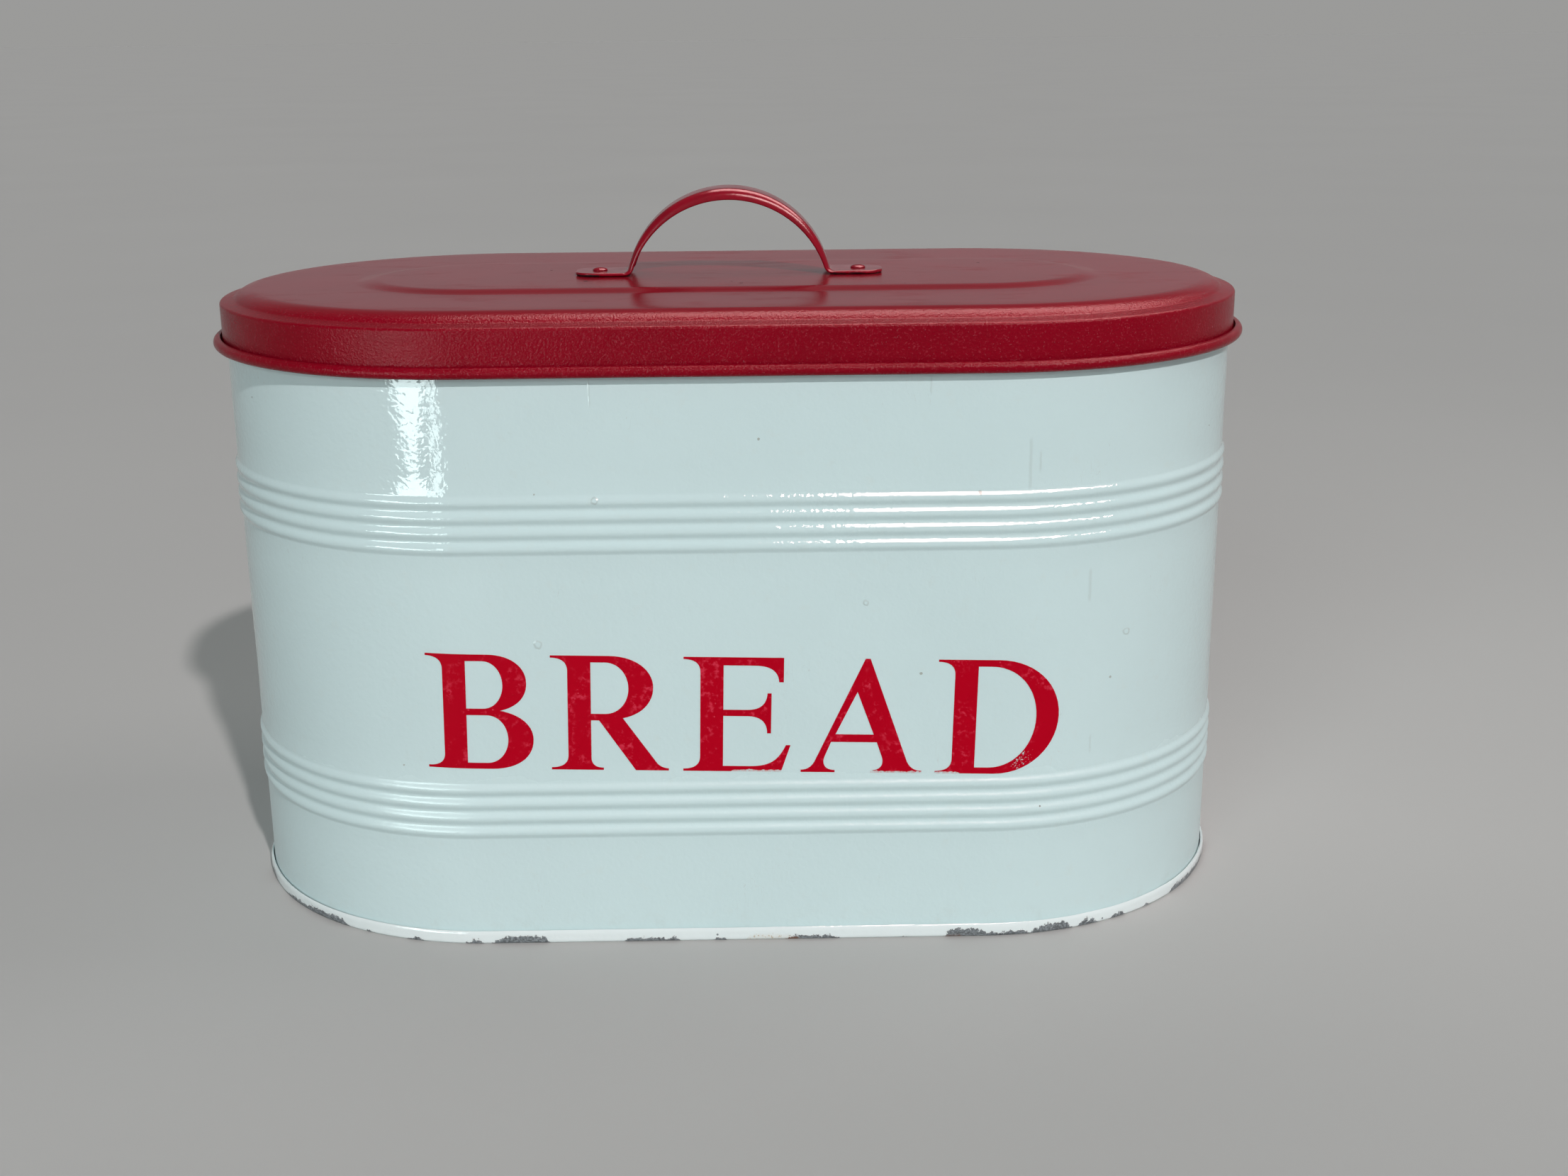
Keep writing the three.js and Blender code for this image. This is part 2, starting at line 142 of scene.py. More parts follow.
class Graph:
    """The node graph of one material or of the world."""

    def __init__(self, tree: bpy.types.NodeTree) -> None:
        """Clears a node tree to build in."""
        self.tree = tree
        tree.nodes.clear()

    def node(
        self,
        kind: str,
        settings: dict[str, object] | None = None,
        links: dict[str | int, object] | None = None,
    ) -> bpy.types.Node:
        """Adds a node.

        Args:
            kind: The node's type.
            settings: Its settings, set before its sockets. "stops" are a ramp's (place, colour) pairs.
            links: What goes into its sockets, by name or number: a Value, a socket or a constant.

        Returns:
            The node.
        """
        made = self.tree.nodes.new(kind)
        for name, setting in (settings or {}).items():
            if name == "stops":
                self._set_stops(made.color_ramp, setting)
            else:
                setattr(made, name, setting)
        for name, source in (links or {}).items():
            self._feed(made.inputs[name], source)
        return made

    def _set_stops(self, ramp: bpy.types.ColorRamp, stops: Sequence[tuple[float, Colour]]) -> None:
        """Gives a colour ramp its stops.

        Args:
            ramp: The ramp.
            stops: At least two (place, colour) pairs, in order.
        """
        while len(ramp.elements) < len(stops):
            ramp.elements.new(0.5)
        for element, (place, colour) in zip(ramp.elements, stops):
            element.position = place
            element.color = (*colour, 1.0)

    def _feed(self, socket: bpy.types.NodeSocket, source: object) -> None:
        """Links a source to a socket, or sets the socket to a constant.

        Args:
            socket: The input socket.
            source: A Value, an output socket, a number or a tuple.
        """
        if isinstance(source, Value):
            self.tree.links.new(source.socket, socket)
        elif isinstance(source, bpy.types.NodeSocket):
            self.tree.links.new(source, socket)
        elif socket.type == "RGBA":
            socket.default_value = (*source, 1.0)
        else:
            socket.default_value = source

    def value(
        self,
        kind: str,
        settings: dict[str, object] | None,
        links: dict[str | int, object],
        output: str | int = 0,
    ) -> Value:
        """Adds a node and wraps one of its outputs, given by name or number."""
        return Value(self, self.node(kind, settings, links).outputs[output])

    def math(self, operation: str, *terms: Value | float) -> Value:
        """Adds a Math node on some values, and gives its result."""
        return self.value("ShaderNodeMath", {"operation": operation}, dict(enumerate(terms)))

    def place(self) -> Value:
        """The place on the piece, in millimetres, as a vector."""
        coords = self.node("ShaderNodeTexCoord").outputs["Object"]
        scaled = {0: coords, "Scale": 1 / MM}
        return self.value("ShaderNodeVectorMath", {"operation": "SCALE"}, scaled)

    def parts(self, vector: Value) -> tuple[Value, Value, Value]:
        """The three parts of a vector."""
        split = self.node("ShaderNodeSeparateXYZ", None, {0: vector})
        return tuple(Value(self, output) for output in split.outputs)

    def stretch(self, vector: Value, factors: tuple[float, float, float]) -> Value:
        """A vector multiplied part by part."""
        return self.value("ShaderNodeVectorMath", {"operation": "MULTIPLY"}, {0: vector, 1: factors})

    def shift(self, vector: Value, by: tuple[float, float, float]) -> Value:
        """A vector moved by a fixed amount."""
        return self.value("ShaderNodeVectorMath", {"operation": "ADD"}, {0: vector, 1: by})

    def grain(
        self, place: Value, size: float, detail: float = 2.0, rough: float = 0.5, warp: float = 0.0
    ) -> Value:
        """A cloud noise from about 0 to 1.

        Args:
            place: Where it is taken.
            size: The width of its lumps.
            detail: How many finer layers it has.
            rough: How strong the finer layers are.
            warp: How much it is distorted.

        Returns:
            The noise.
        """
        links = {"Vector": place, "Scale": 1 / size, "Detail": detail}
        links |= {"Roughness": rough, "Distortion": warp}
        return self.value("ShaderNodeTexNoise", None, links, "Fac")

    def cells(self, place: Value, size: float) -> bpy.types.Node:
        """Adds a cell noise node. Its cells are of one width."""
        links = {"Vector": place, "Scale": 1 / size}
        return self.node("ShaderNodeTexVoronoi", {"feature": "F1"}, links)

    def specks(self, place: Value, spacing: float, radius: float, share: float) -> Value:
        """Small round specks, scattered.

        Args:
            place: Where they are taken.
            spacing: The width of the cells, each of which can hold one speck.
            radius: The radius of a speck.
            share: The share of the cells that hold one.

        Returns:
            A mask that is 1 on the specks.
        """
        cells = self.cells(place, spacing)
        chance, _, _ = self.parts(Value(self, cells.outputs["Color"]))
        near = Value(self, cells.outputs["Distance"]) * spacing
        return near.ramp(radius, radius * 0.6) * chance.ramp(share, share - 0.01)

    def mix(self, mask: Value | float, low: object, high: object) -> Value:
        """Mixes two colours by a mask.

        Args:
            mask: 0 for the first, 1 for the second.
            low: The first colour.
            high: The second colour.

        Returns:
            The colour.
        """
        settings = {"data_type": "RGBA", "blend_type": "MIX"}
        links = {"Factor": mask, 6: low, 7: high}
        return self.value("ShaderNodeMix", settings, links, 2)

    def attribute(self, name: str) -> Value:
        """A number that is stored on the piece's mesh."""
        return self.value("ShaderNodeAttribute", {"attribute_name": name}, {}, "Fac")

    def bump(self, height: Value) -> Value:
        """A normal from a height in millimetres."""
        links = {"Height": height, "Distance": MM, "Strength": 1.0}
        return self.value("ShaderNodeBump", None, links, "Normal")

    def spot(self, across: Value, up: Value, at: Point, warp: Value | float = 0.0) -> Value:
        """The distance from a point on a flat face, with a warp added to make it uneven."""
        return ((across - at[0]) ** 2 + (up - at[1]) ** 2).math("SQRT") + warp


def new_material(name: str) -> tuple[bpy.types.Material, Graph]:
    """Makes an empty material.

    Args:
        name: Its name.

    Returns:
        The material and its graph.
    """
    material = bpy.data.materials.new(name)
    material.use_nodes = True
    return material, Graph(material.node_tree)


def close_material(graph: Graph, links: dict[str, object]) -> None:
    """Ends a graph in a principled surface, with what goes into its sockets."""
    surface = graph.node("ShaderNodeBsdfPrincipled", None, links)
    graph.node("ShaderNodeOutputMaterial", None, {"Surface": surface.outputs[0]})


# ---- Finishes ----


@dataclass(frozen=True)
class WhiteEnamel:
    """Cool white enamel sprayed on steel: glossy, with orange peel, chipped to bare steel low down.

    Attributes:
        colour: The enamel's colour.
        warm: The colour of its faint yellowing.
        seam_lit_colour: The base seam's colour, painted lighter than the wall to stand in for light
            caught by its rounded top.
        steel: The colour of bare steel.
        rust: The colour of rust.
        peel_size: The width of the orange peel's lumps.
        peel_height: Their height.
        gloss: The roughness of clean enamel.
        ior: Its index of refraction.
        satin: How much rougher it is below the upper beads.
        satin_top: The height at which that begins.
        satin_full: The height at which it is complete.
        grime: The colour of grime at the foot of the wall.
        scuff: The colour of a scratch.
        dirt: The colour of a mark's dirt.
        speck: The colour of a speck.
        chip_rim: The colour of the enamel round a chip.
        stain: The colour of a rusty stain.
    """

    colour: Colour = (0.672, 0.838, 0.848)
    warm: Colour = (0.665, 0.745, 0.70)
    seam_lit_colour: Colour = (0.90, 0.955, 0.955)
    steel: Colour = (0.215, 0.24, 0.255)
    rust: Colour = (0.20, 0.075, 0.025)
    peel_size: float = 1.9
    peel_height: float = 0.078
    gloss: float = 0.035
    ior: float = 1.5
    satin: float = 0.24
    satin_top: float = 78.0
    satin_full: float = 54.0
    grime: Colour = (0.42, 0.40, 0.33)
    scuff: Colour = (0.50, 0.54, 0.52)
    dirt: Colour = (0.33, 0.35, 0.30)
    speck: Colour = (0.10, 0.085, 0.06)
    chip_rim: Colour = (0.93, 0.96, 0.96)
    stain: Colour = (0.46, 0.33, 0.17)

    def _peel(self, graph: Graph, place: Value) -> Value:
        """The orange peel's height."""
        coarse = graph.grain(place, self.peel_size, 1.5, 0.45, 0.3)
        fine = graph.grain(place, self.peel_size * 0.32, 1.0)
        return coarse * self.peel_height + fine * (self.peel_height * 0.12)

    def _tone(self, graph: Graph, place: Value) -> Value:
        """The clean enamel's colour, with its slow changes.

        Args:
            graph: The graph.
            place: The place on the piece.

        Returns:
            The colour.
        """
        cloud = graph.grain(place, 46.0, 3.0, 0.55)
        fine = graph.grain(graph.shift(place, (31.0, 7.0, 3.0)), 5.0, 4.0, 0.6)
        darker = tuple(c * 0.96 for c in self.colour)
        cool = graph.mix(cloud.ramp(0.35, 0.7) * 0.45, self.colour, darker)
        return graph.mix(fine.ramp(0.55, 0.85) * 0.22, cool, self.warm)

    def wall(self, name: str, marks: "WallMarks") -> bpy.types.Material:
        """The finish of the wall.

        Args:
            name: The material's name.
            marks: Its small marks.

        Returns:
            The material.
        """
        material, graph = new_material(name)
        place = graph.place()
        across, deep, up = graph.parts(place)
        front = deep.ramp(0.0, -20.0)
        uneven = graph.grain(place, 1.6, 3.0)
        dirt, raised = marks.masks(graph, across, up, uneven, front)
        specks = graph.specks(place, 19.0, 0.34, 0.32)
        scuffs = marks.scuffs(graph, place)
        grime = up.ramp(13.0, 4.6) * graph.grain(place, 7.0, 4.0, 0.65).ramp(0.5, 0.75)
        colour = self._tone(graph, place)
        colour = graph.mix(grime * 0.1, colour, self.grime)
        colour = graph.mix(scuffs * 0.45, colour, self.scuff)
        colour = graph.mix(dirt * 0.75, colour, self.dirt)
        colour = graph.mix(specks * 0.85, colour, self.speck)
        smear = graph.grain(graph.stretch(place, (1.0, 1.0, 0.35)), 21.0, 4.0, 0.6).ramp(0.45, 0.8)
        satin = up.ramp(self.satin_top, self.satin_full) * self.satin
        rough = smear * 0.02 + dirt * 0.25 + scuffs * 0.2 + grime * 0.3 + satin + self.gloss
        height = self._peel(graph, place) + raised - specks * 0.03
        close_material(graph, {
            "Base Color": colour, "Roughness": rough, "Normal": graph.bump(height), "IOR": self.ior,
        })
        return material

    def seam(self, name: str) -> bpy.types.Material:
        """The finish of the base, painted lighter than the wall as a highlight, and chipped and rusty
        along its lower edge.

        Args:
            name: The material's name.

        Returns:
            The material.
        """
        material, graph = new_material(name)
        place = graph.place()
        _, _, up = graph.parts(place)
        torn = graph.grain(place, 1.5, 5.0, 0.72, 0.4)
        edge = graph.attribute(SeamWear.CHIPS) + (torn - 0.5) * 5.6 + 0.35 - up
        chips = edge.ramp(0.0, 0.22)
        rim = edge.ramp(-0.55, 0.05) * (1 - chips)
        stain = graph.attribute(SeamWear.RUST) + (graph.grain(place, 3.4, 5.0, 0.7) - 0.5) * 4.4 - up
        stained = stain.ramp(-0.4, 1.2)
        pits = graph.specks(place, 6.5, 0.42, 0.3)
        bare = chips.most(pits)
        mottle = graph.grain(place, 0.9, 4.0, 0.7)
        dark_steel, light_steel = (tuple(c * share for c in self.steel) for share in (0.55, 1.75))
        steel = graph.mix(mottle.ramp(0.35, 0.7), dark_steel, light_steel)
        # Painted highlight: the seam is painted much lighter than the wall, standing in for the light
        # its rounded top catches.
        colour = graph.mix(0.75, self._tone(graph, place), self.seam_lit_colour)
        colour = graph.mix(rim * 0.4, colour, self.chip_rim)
        spots = graph.grain(place, 0.9, 3.0, 0.7).ramp(0.56, 0.64)
        colour = graph.mix(stained * (0.16 + spots * 0.6), colour, self.stain)
        colour = graph.mix(bare, colour, steel)
        colour = graph.mix(bare * stained * 0.8, colour, self.rust)
        rough = bare * 0.32 + stained * 0.3 + self.gloss + 0.03
        height = self._peel(graph, place) - bare * 0.1 + bare * mottle * 0.04
        close_material(graph, {
            "Base Color": colour, "Roughness": rough, "Metallic": bare * (1 - stained * 0.8) * 0.25,
            "Normal": graph.bump(height), "IOR": self.ior,
        })
        return material


@dataclass(frozen=True)
class WallMarks:
    """Small marks on the front of the wall, each a place along X and Z.

    Attributes:
        blisters: (place, radius) of ring-shaped blisters.
        nicks: (place, radius) of small dark nicks.
        runs: (place along X, lowest height, highest height, half width) of runs in the enamel.
    """

    blisters: tuple[tuple[Point, float], ...] = (
        ((-40.0, 145.0), 0.9), ((-59.0, 100.0), 1.1), ((123.0, 98.0), 0.9), ((41.0, 112.0), 0.7),
    )
    nicks: tuple[tuple[Point, float], ...] = (
        ((75.0, 146.0), 0.75), ((-58.0, 147.0), 0.4), ((9.0, 163.0), 0.35),
        ((58.0, 89.0), 0.45), ((-103.0, 60.0), 0.4), ((118.0, 84.0), 0.5),
    )
    runs: tuple[tuple[float, float, float, float], ...] = (
        (-40.5, 173.5, 181.0, 0.28), (90.0, 147.0, 162.0, 0.45), (93.0, 152.0, 158.0, 0.3),
        (110.0, 110.0, 120.0, 0.5), (112.0, 60.0, 65.5, 0.3), (60.0, 176.0, 181.0, 0.25),
    )

    def masks(
        self, graph: Graph, across: Value, up: Value, uneven: Value, front: Value
    ) -> tuple[Value, Value]:
        """The marks as masks.

        Args:
            graph: The graph.
            across: The place along X.
            up: The place along Z.
            uneven: A noise that makes their outlines uneven.
            front: 1 on the front of the wall.

        Returns:
            The dirt, from 0 to 1, and the raised enamel, in millimetres.
        """
        warp = (uneven - 0.5) * 1.1
        dirt, raised = front * 0, front * 0
        for at, radius in self.blisters:
            away = graph.spot(across, up, at, warp)
            ring = abs(away - radius).ramp(0.42, 0.05)
            dirt = dirt + ring * 0.34
            raised = raised + away.ramp(radius * 1.5, radius * 0.6) * 0.12
        for at, radius in self.nicks:
            dirt = dirt + graph.spot(across, up, at, warp).ramp(radius, radius * 0.55)
        for at, low, high, half in self.runs:
            tall = up.ramp(low - 1.0, low + 1.0) * up.ramp(high + 1.0, high - 1.0)
            run = abs(across - at + warp * 0.35).ramp(half * 1.6, half * 0.3) * tall
            dirt = dirt + run * 0.2
            raised = raised + run * 0.05
        return (dirt * front).least(1.0), raised * front

    def scuffs(self, graph: Graph, place: Value) -> Value:
        """Hair-thin scratches in patches.

        Args:
            graph: The graph.
            place: The place on the piece.

        Returns:
            A mask that is 1 on them.
        """
        leaning = graph.stretch(place, (1.0, 1.0, 0.16))
        lines = graph.grain(leaning, 2.3, 2.0, 0.4, 1.6)
        thin = abs(lines - 0.5).ramp(0.0045, 0.001)
        return thin * graph.grain(place, 27.0, 2.0).ramp(0.6, 0.7)


@dataclass(frozen=True)
class RedLacquer:
    """Deep red lacquer on the lid: a fine pebbled skin, small dark specks and a few chips, with
    highlights painted on the skirt's pebbles.

    Attributes:
        colour: The lacquer's colour.
        dark: The colour of its darker patches.
        primer: The colour where it is chipped.
        glint: The colour of the highlights painted on the pebbles' tops.
        dust: The colour of dust.
        pebble_size: The width of the pebbles.
        pebble_height: Their height on the skirt.
        calm_height: Their height on the top panel.
        gloss: The roughness of the skin.
        ior: Its index of refraction.
    """

    colour: Colour = (0.268, 0.0003, 0.0110)
    dark: Colour = (0.225, 0.0003, 0.0085)
    primer: Colour = (0.030, 0.008, 0.010)
    glint: Colour = (0.50, 0.06, 0.09)
    dust: Colour = (0.55, 0.30, 0.30)
    pebble_size: float = 0.75
    pebble_height: float = 0.26
    calm_height: float = 0.012
    gloss: float = 0.20
    ior: float = 1.2

    def material(
        self, name: str, skirt_top: float, chips: Iterable[tuple[Point, float]]
    ) -> bpy.types.Material:
        """The finish of the lid.

        Args:
            name: The material's name.
            skirt_top: The height at which the skirt begins.
            chips: (place along X and Y, radius) of chips in the top.

        Returns:
            The material.
        """
        material, graph = new_material(name)
        place = graph.place()
        across, deep, up = graph.parts(place)
        side = up.ramp(skirt_top + 3.5, skirt_top + 1.4)
        pebbles = graph.grain(place, self.pebble_size, 2.5, 0.6)
        lumps = graph.grain(place, self.pebble_size * 4.2, 2.0, 0.5)
        waves = graph.grain(place, 38.0, 1.0, 0.4)
        torn = (graph.grain(place, 1.3, 3.0) - 0.5) * 1.2
        marred = side * 0
        for at, radius in chips:
            marred = marred + graph.spot(across, deep, at, torn).ramp(radius, radius * 0.6)
        marred = (marred * (1 - side)).least(1.0)
        specks = graph.specks(place, 15.0, 0.30, 0.3)
        dust = graph.specks(graph.shift(place, (5.0, 2.0, 9.0)), 8.0, 0.22, 0.25)
        cloud = graph.grain(place, 30.0, 4.0, 0.6).ramp(0.38, 0.7)
        rub = graph.grain(graph.stretch(place, (0.4, 1.0, 1.0)), 9.0, 4.0, 0.65).ramp(0.5, 0.78)
        colour = graph.mix(cloud * 0.55, self.colour, self.dark)
        glints = graph.specks(graph.shift(place, (2.0, 6.0, 1.0)), 1.15, 0.26, 0.5)
        # Painted highlight: the skirt's pebble tops and glint specks are painted lighter, standing in
        # for sparkle from the lamps.
        painted_glints = (pebbles.ramp(0.55, 0.75) * 0.35 + glints * 0.3) * side
        colour = graph.mix(painted_glints, colour, self.glint)
        colour = graph.mix(dust * 0.35, colour, self.dust)
        colour = graph.mix((specks * 0.8).most(marred), colour, self.primer)
        rough = rub * 0.08 + marred * 0.3 + side * 0.02 + self.gloss
        depth = side * (self.pebble_height - self.calm_height) + self.calm_height
        height = pebbles * depth + lumps * (side * 0.03 + 0.004) + waves * 0.08
        height = height + glints * (side * 0.10 + 0.006) - marred * 0.08 - specks * 0.03
        close_material(graph, {
            "Base Color": colour, "Roughness": rough, "Normal": graph.bump(height), "IOR": self.ior,
        })
        return material


@dataclass(frozen=True)
class RedGloss:
    """Glossy deep red paint on the strap and rivets, darkened to near black along its lowest edges.

    Attributes:
        colour: The paint's colour.
        dark: The colour of its thicker, darker patches.
        low_edge_dark: The near-black colour along its lowest edges and in its specks.
        gloss: The roughness of the paint.
        ior: Its index of refraction.
    """

    colour: Colour = (0.300, 0.0035, 0.0170)
    dark: Colour = (0.190, 0.0020, 0.0110)
    low_edge_dark: Colour = (0.026, 0.012, 0.014)
    gloss: float = 0.16
    ior: float = 1.36

    def material(self, name: str, dark_below: float) -> bpy.types.Material:
        """The finish of a piece.

        Args:
            name: The material's name.
            dark_below: The height below which the paint is darkened.

        Returns:
            The material.
        """
        material, graph = new_material(name)
        place = graph.place()
        _, _, up = graph.parts(place)
        peel = graph.grain(place, 1.5, 2.0, 0.5)
        cloud = graph.grain(place, 7.0, 4.0, 0.6).ramp(0.35, 0.7)
        torn = graph.grain(place, 1.4, 4.0, 0.7)
        low = up + (torn - 0.5) * 0.9
        # Patchy near-black darkening along the lowest edges, where the tabs and rivet heads meet the
        # parts under them.
        darkened_edge = low.ramp(dark_below, dark_below - 0.25) * graph.grain(place, 5.0, 2.0).ramp(0.42, 0.55)
        specks = graph.specks(place, 6.0, 0.2, 0.3)
        marred = darkened_edge.most(specks * 0.8)
        colour = graph.mix(cloud * 0.6, self.colour, self.dark)
        colour = graph.mix(marred, colour, self.low_edge_dark)
        rough = cloud * 0.06 + marred * 0.3 + self.gloss
        height = peel * 0.028 - marred * 0.05
        close_material(graph, {
            "Base Color": colour, "Roughness": rough, "Normal": graph.bump(height), "IOR": self.ior,
        })
        return material


@dataclass(frozen=True)
class LetterWear:
    """How worn one letter transfer is.

    Attributes:
        foot_from: Where along X the pale worn foot begins.
        foot_to: Where it ends.
        speckle: The middle of a speckled patch, along X and Z, if there is one.
        speckle_radius: The radius of the patch.
    """

    foot_from: float = 0.0
    foot_to: float = 0.0
    speckle: Point | None = None
    speckle_radius: float = 6.0


@dataclass(frozen=True)
class RedFilm:
    """Thin satin red film with small bubbles, worn pale along some feet.

    Attributes:
        colour: The film's colour.
        light: The colour over a bubble.
        pale: The colour of a worn foot.
        bare: The colour of the enamel under it.
        gloss: The roughness of the film where it is smoothest.
        ior: Its index of refraction.
    """

    colour: Colour = (0.500, 0.0003, 0.0135)
    light: Colour = (0.740, 0.0420, 0.0860)
    pale: Colour = (0.690, 0.480, 0.480)
    bare: Colour = (0.66, 0.78, 0.80)
    gloss: float = 0.27
    ior: float = 1.12

    def material(
        self, name: str, wear: LetterWear, baseline: Callable[[float], float]
    ) -> bpy.types.Material:
        """The finish of one letter.

        Args:
            name: The material's name.
            wear: How worn it is.
            baseline: The height of the letter's feet at a place along X.

        Returns:
            The material.
        """
        material, graph = new_material(name)
        place = graph.place()
        across, _, up = graph.parts(place)
        bubbles = graph.grain(place, 1.7, 3.0, 0.6)
        blots = graph.grain(place, 6.5, 3.0, 0.55).ramp(0.42, 0.62)
        pimples = graph.specks(place, 2.0, 0.36, 0.34)
        torn = graph.grain(place, 0.8, 4.0, 0.7)
        colour = graph.mix(bubbles.ramp(0.50, 0.70) * blots * 0.8, self.colour, self.light)
        colour = graph.mix(pimples * blots * 0.8, colour, self.light)
        marred = pimples * 0
        if wear.foot_to > wear.foot_from:
            slope = baseline(1.0) - baseline(0.0)
            above = up - (across * slope + baseline(0.0))
            along = graph.grain(graph.stretch(place, (1.0, 0.0, 0.0)), 3.2, 3.0, 0.6)
            reach = across.ramp(wear.foot_from - 0.5, wear.foot_from + 1.5)
            reach = reach * across.ramp(wear.foot_to + 0.5, wear.foot_to - 1.5)
            line = along * 1.7 + (torn - 0.5) * 0.5 - 0.28
            foot = (line * reach - above).ramp(-0.05, 0.06) * reach.ramp(0.1, 0.5)
            colour = graph.mix(foot, colour, self.pale)
            marred = marred + foot * torn.ramp(0.4, 0.6)
        if wear.speckle:
            radius = wear.speckle_radius
            near = graph.spot(across, up, wear.speckle).ramp(radius, radius * 0.2)
            crumbs = graph.grain(place, 0.75, 3.0, 0.7)
            marred = marred.most((crumbs + near * 0.13).ramp(0.70, 0.715) * near.ramp(0.02, 0.3))
        colour = graph.mix(marred.least(1.0) * 0.9, colour, self.bare)
        rough = bubbles * 0.16 + self.gloss
        height = bubbles * blots * 0.09 + pimples * 0.05 + torn * 0.012 - marred * 0.08
        close_material(graph, {
            "Base Color": colour, "Roughness": rough, "Normal": graph.bump(height), "IOR": self.ior,
        })
        return material


# ---- Meshes ----


@dataclass
class Piece:
    """One finished piece of the object.

    Attributes:
        shape: The Blender object.
        body: The body that it rides on.
        nodes: The CAD nodes that it stands for.
        slot: The record's material slot.
    """

    shape: bpy.types.Object
    body: Body
    nodes: tuple[str, ...]
    slot: Slot

    def fit(self, material: bpy.types.Material, sharp: float = 38.0) -> None:
        """Dresses the piece and ties it to the frame.

        Args:
            material: Its material.
            sharp: The angle, in degrees, above which an edge stays sharp.
        """
        mesh = self.shape.data
        mesh.materials.clear()
        mesh.materials.append(material)
        mesh.shade_smooth()
        mesh.set_sharp_from_angle(angle=math.radians(sharp))
        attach(self.shape, self.body.value)
        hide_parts(*self.nodes)
        log.info("%s: %d faces, rides on %s", self.shape.name, len(mesh.polygons), self.body.value)


def add_object(name: str, data: bpy.types.ID) -> bpy.types.Object:
    """Makes an object that shows some data, in the scene."""
    made = bpy.data.objects.new(name, data)
    bpy.context.scene.collection.objects.link(made)
    return made


def make_object(
    name: str, points: Sequence[Sequence[float]], faces: Sequence[Sequence[int]]
) -> bpy.types.Object:
    """Makes a mesh object.

    Args:
        name: Its name.
        points: Its points, in millimetres.
        faces: Its faces.

    Returns:
        The object.
    """
    mesh = bpy.data.meshes.new(name)
    mesh.from_pydata([[c * MM for c in point] for point in points], [], faces)
    return add_object(name, mesh)


def ring_faces(rows: int, count: int, closed: bool = False) -> list[tuple[int, ...]]:
    """The faces between rings of points.

    Args:
        rows: How many rings there are.
        count: How many points each has.
        closed: Whether the last ring meets the first.

    Returns:
        The faces.
    """
    faces = []
    for i in range(rows if closed else rows - 1):
        low, high = i * count, (i + 1) % rows * count
        for j, following in zip(range(count), (*range(1, count), 0)):
            faces.append((low + j, low + following, high + following, high + j))
    return faces


def end_caps(rows: int, count: int) -> list[tuple[int, ...]]:
    """The flat faces that close the first ring and the last."""
    return [tuple(reversed(range(count))), tuple((rows - 1) * count + j for j in range(count))]


def clamp(value: float) -> float:
    """A number held between 0 and 1."""
    return min(1.0, max(0.0, value))


def bore(
    target: bpy.types.Object, centres: Iterable[Point], radius: float, low: float, high: float
) -> None:
    """Drills upright holes through a piece.

    Args:
        target: The piece.
        centres: The holes' places along X and Y.
        radius: Their radius.
        low: The height that they start at.
        high: The height that they end at.
    """
    for x, y in centres:
        drill_mesh = bmesh.new()
        place = Matrix.Translation(Vector((x, y, (low + high) / 2)) * MM)
        bmesh.ops.create_cone(
            drill_mesh, cap_ends=True, segments=40, radius1=radius * MM, radius2=radius * MM,
            depth=(high - low) * MM, matrix=place,
        )
        mesh = bpy.data.meshes.new("drill")
        drill_mesh.to_mesh(mesh)
        drill_mesh.free()
        drill = add_object("drill", mesh)
        cut = target.modifiers.new("bore", "BOOLEAN")
        cut.operation = "DIFFERENCE"
        cut.solver = "EXACT"
        cut.object = drill
        depsgraph = bpy.context.evaluated_depsgraph_get()
        bored = bpy.data.meshes.new_from_object(target.evaluated_get(depsgraph))
        target.modifiers.clear()
        old = target.data
        target.data = bored
        bpy.data.meshes.remove(old)
        bpy.data.objects.remove(drill)
        bpy.data.meshes.remove(mesh)


def arc(
    centre: Point, radius: float, start: float, end: float, steps: int, squash: float = 1.0
) -> list[Point]:
    """Points on an arc of a profile.

    Args:
        centre: Its centre.
        radius: Its radius.
        start: The angle that it starts at, in degrees, anticlockwise from outwards.
        end: The angle that it ends at.
        steps: How many steps it takes.
        squash: Its height as a share of its width.

    Returns:
        The points.
    """
    points = []
    for i in range(steps + 1):
        angle = math.radians(start + (end - start) * i / steps)
        height = centre[1] + radius * squash * math.sin(angle)
        points.append((centre[0] + radius * math.cos(angle), height))
    return points


def span(start: Point, end: Point, step: float) -> list[Point]:
    """Points along a straight line, its ends left out.

    Args:
        start: Where it starts.
        end: Where it ends.
        step: About how far apart the points are.

    Returns:
        The points.
    """
    count = max(1, round(math.dist(start, end) / step))
    return [
        (start[0] + (end[0] - start[0]) * i / count, start[1] + (end[1] - start[1]) * i / count)
        for i in range(1, count)
    ]


def beside(line: Sequence[Point], distance: float) -> list[Point]:
    """A line moved to its right, mitred at its bends.

    Args:
        line: The line.
        distance: How far it moves. A negative distance moves it to its left.

    Returns:
        The moved line.
    """
    moved = []
    for i, (x, y) in enumerate(line):
        before, after = line[max(i - 1, 0)], line[min(i + 1, len(line) - 1)]
        arriving = Vector((x - before[0], y - before[1]))
        leaving = Vector((after[0] - x, after[1] - y))
        a = (leaving if i == 0 else arriving).normalized()
        b = (arriving if i == len(line) - 1 else leaving).normalized()
        mitre = 1 + a.dot(b)
        moved.append((x + distance * (a.y + b.y) / mitre, y - distance * (a.x + b.x) / mitre))
    return moved


def sheet_profile(line: Sequence[Point], thickness: float) -> list[Point]:
    """Both sides of a bent sheet, from its middle line: its right side, then back along its left."""
    return beside(line, thickness / 2) + beside(line, -thickness / 2)[::-1]


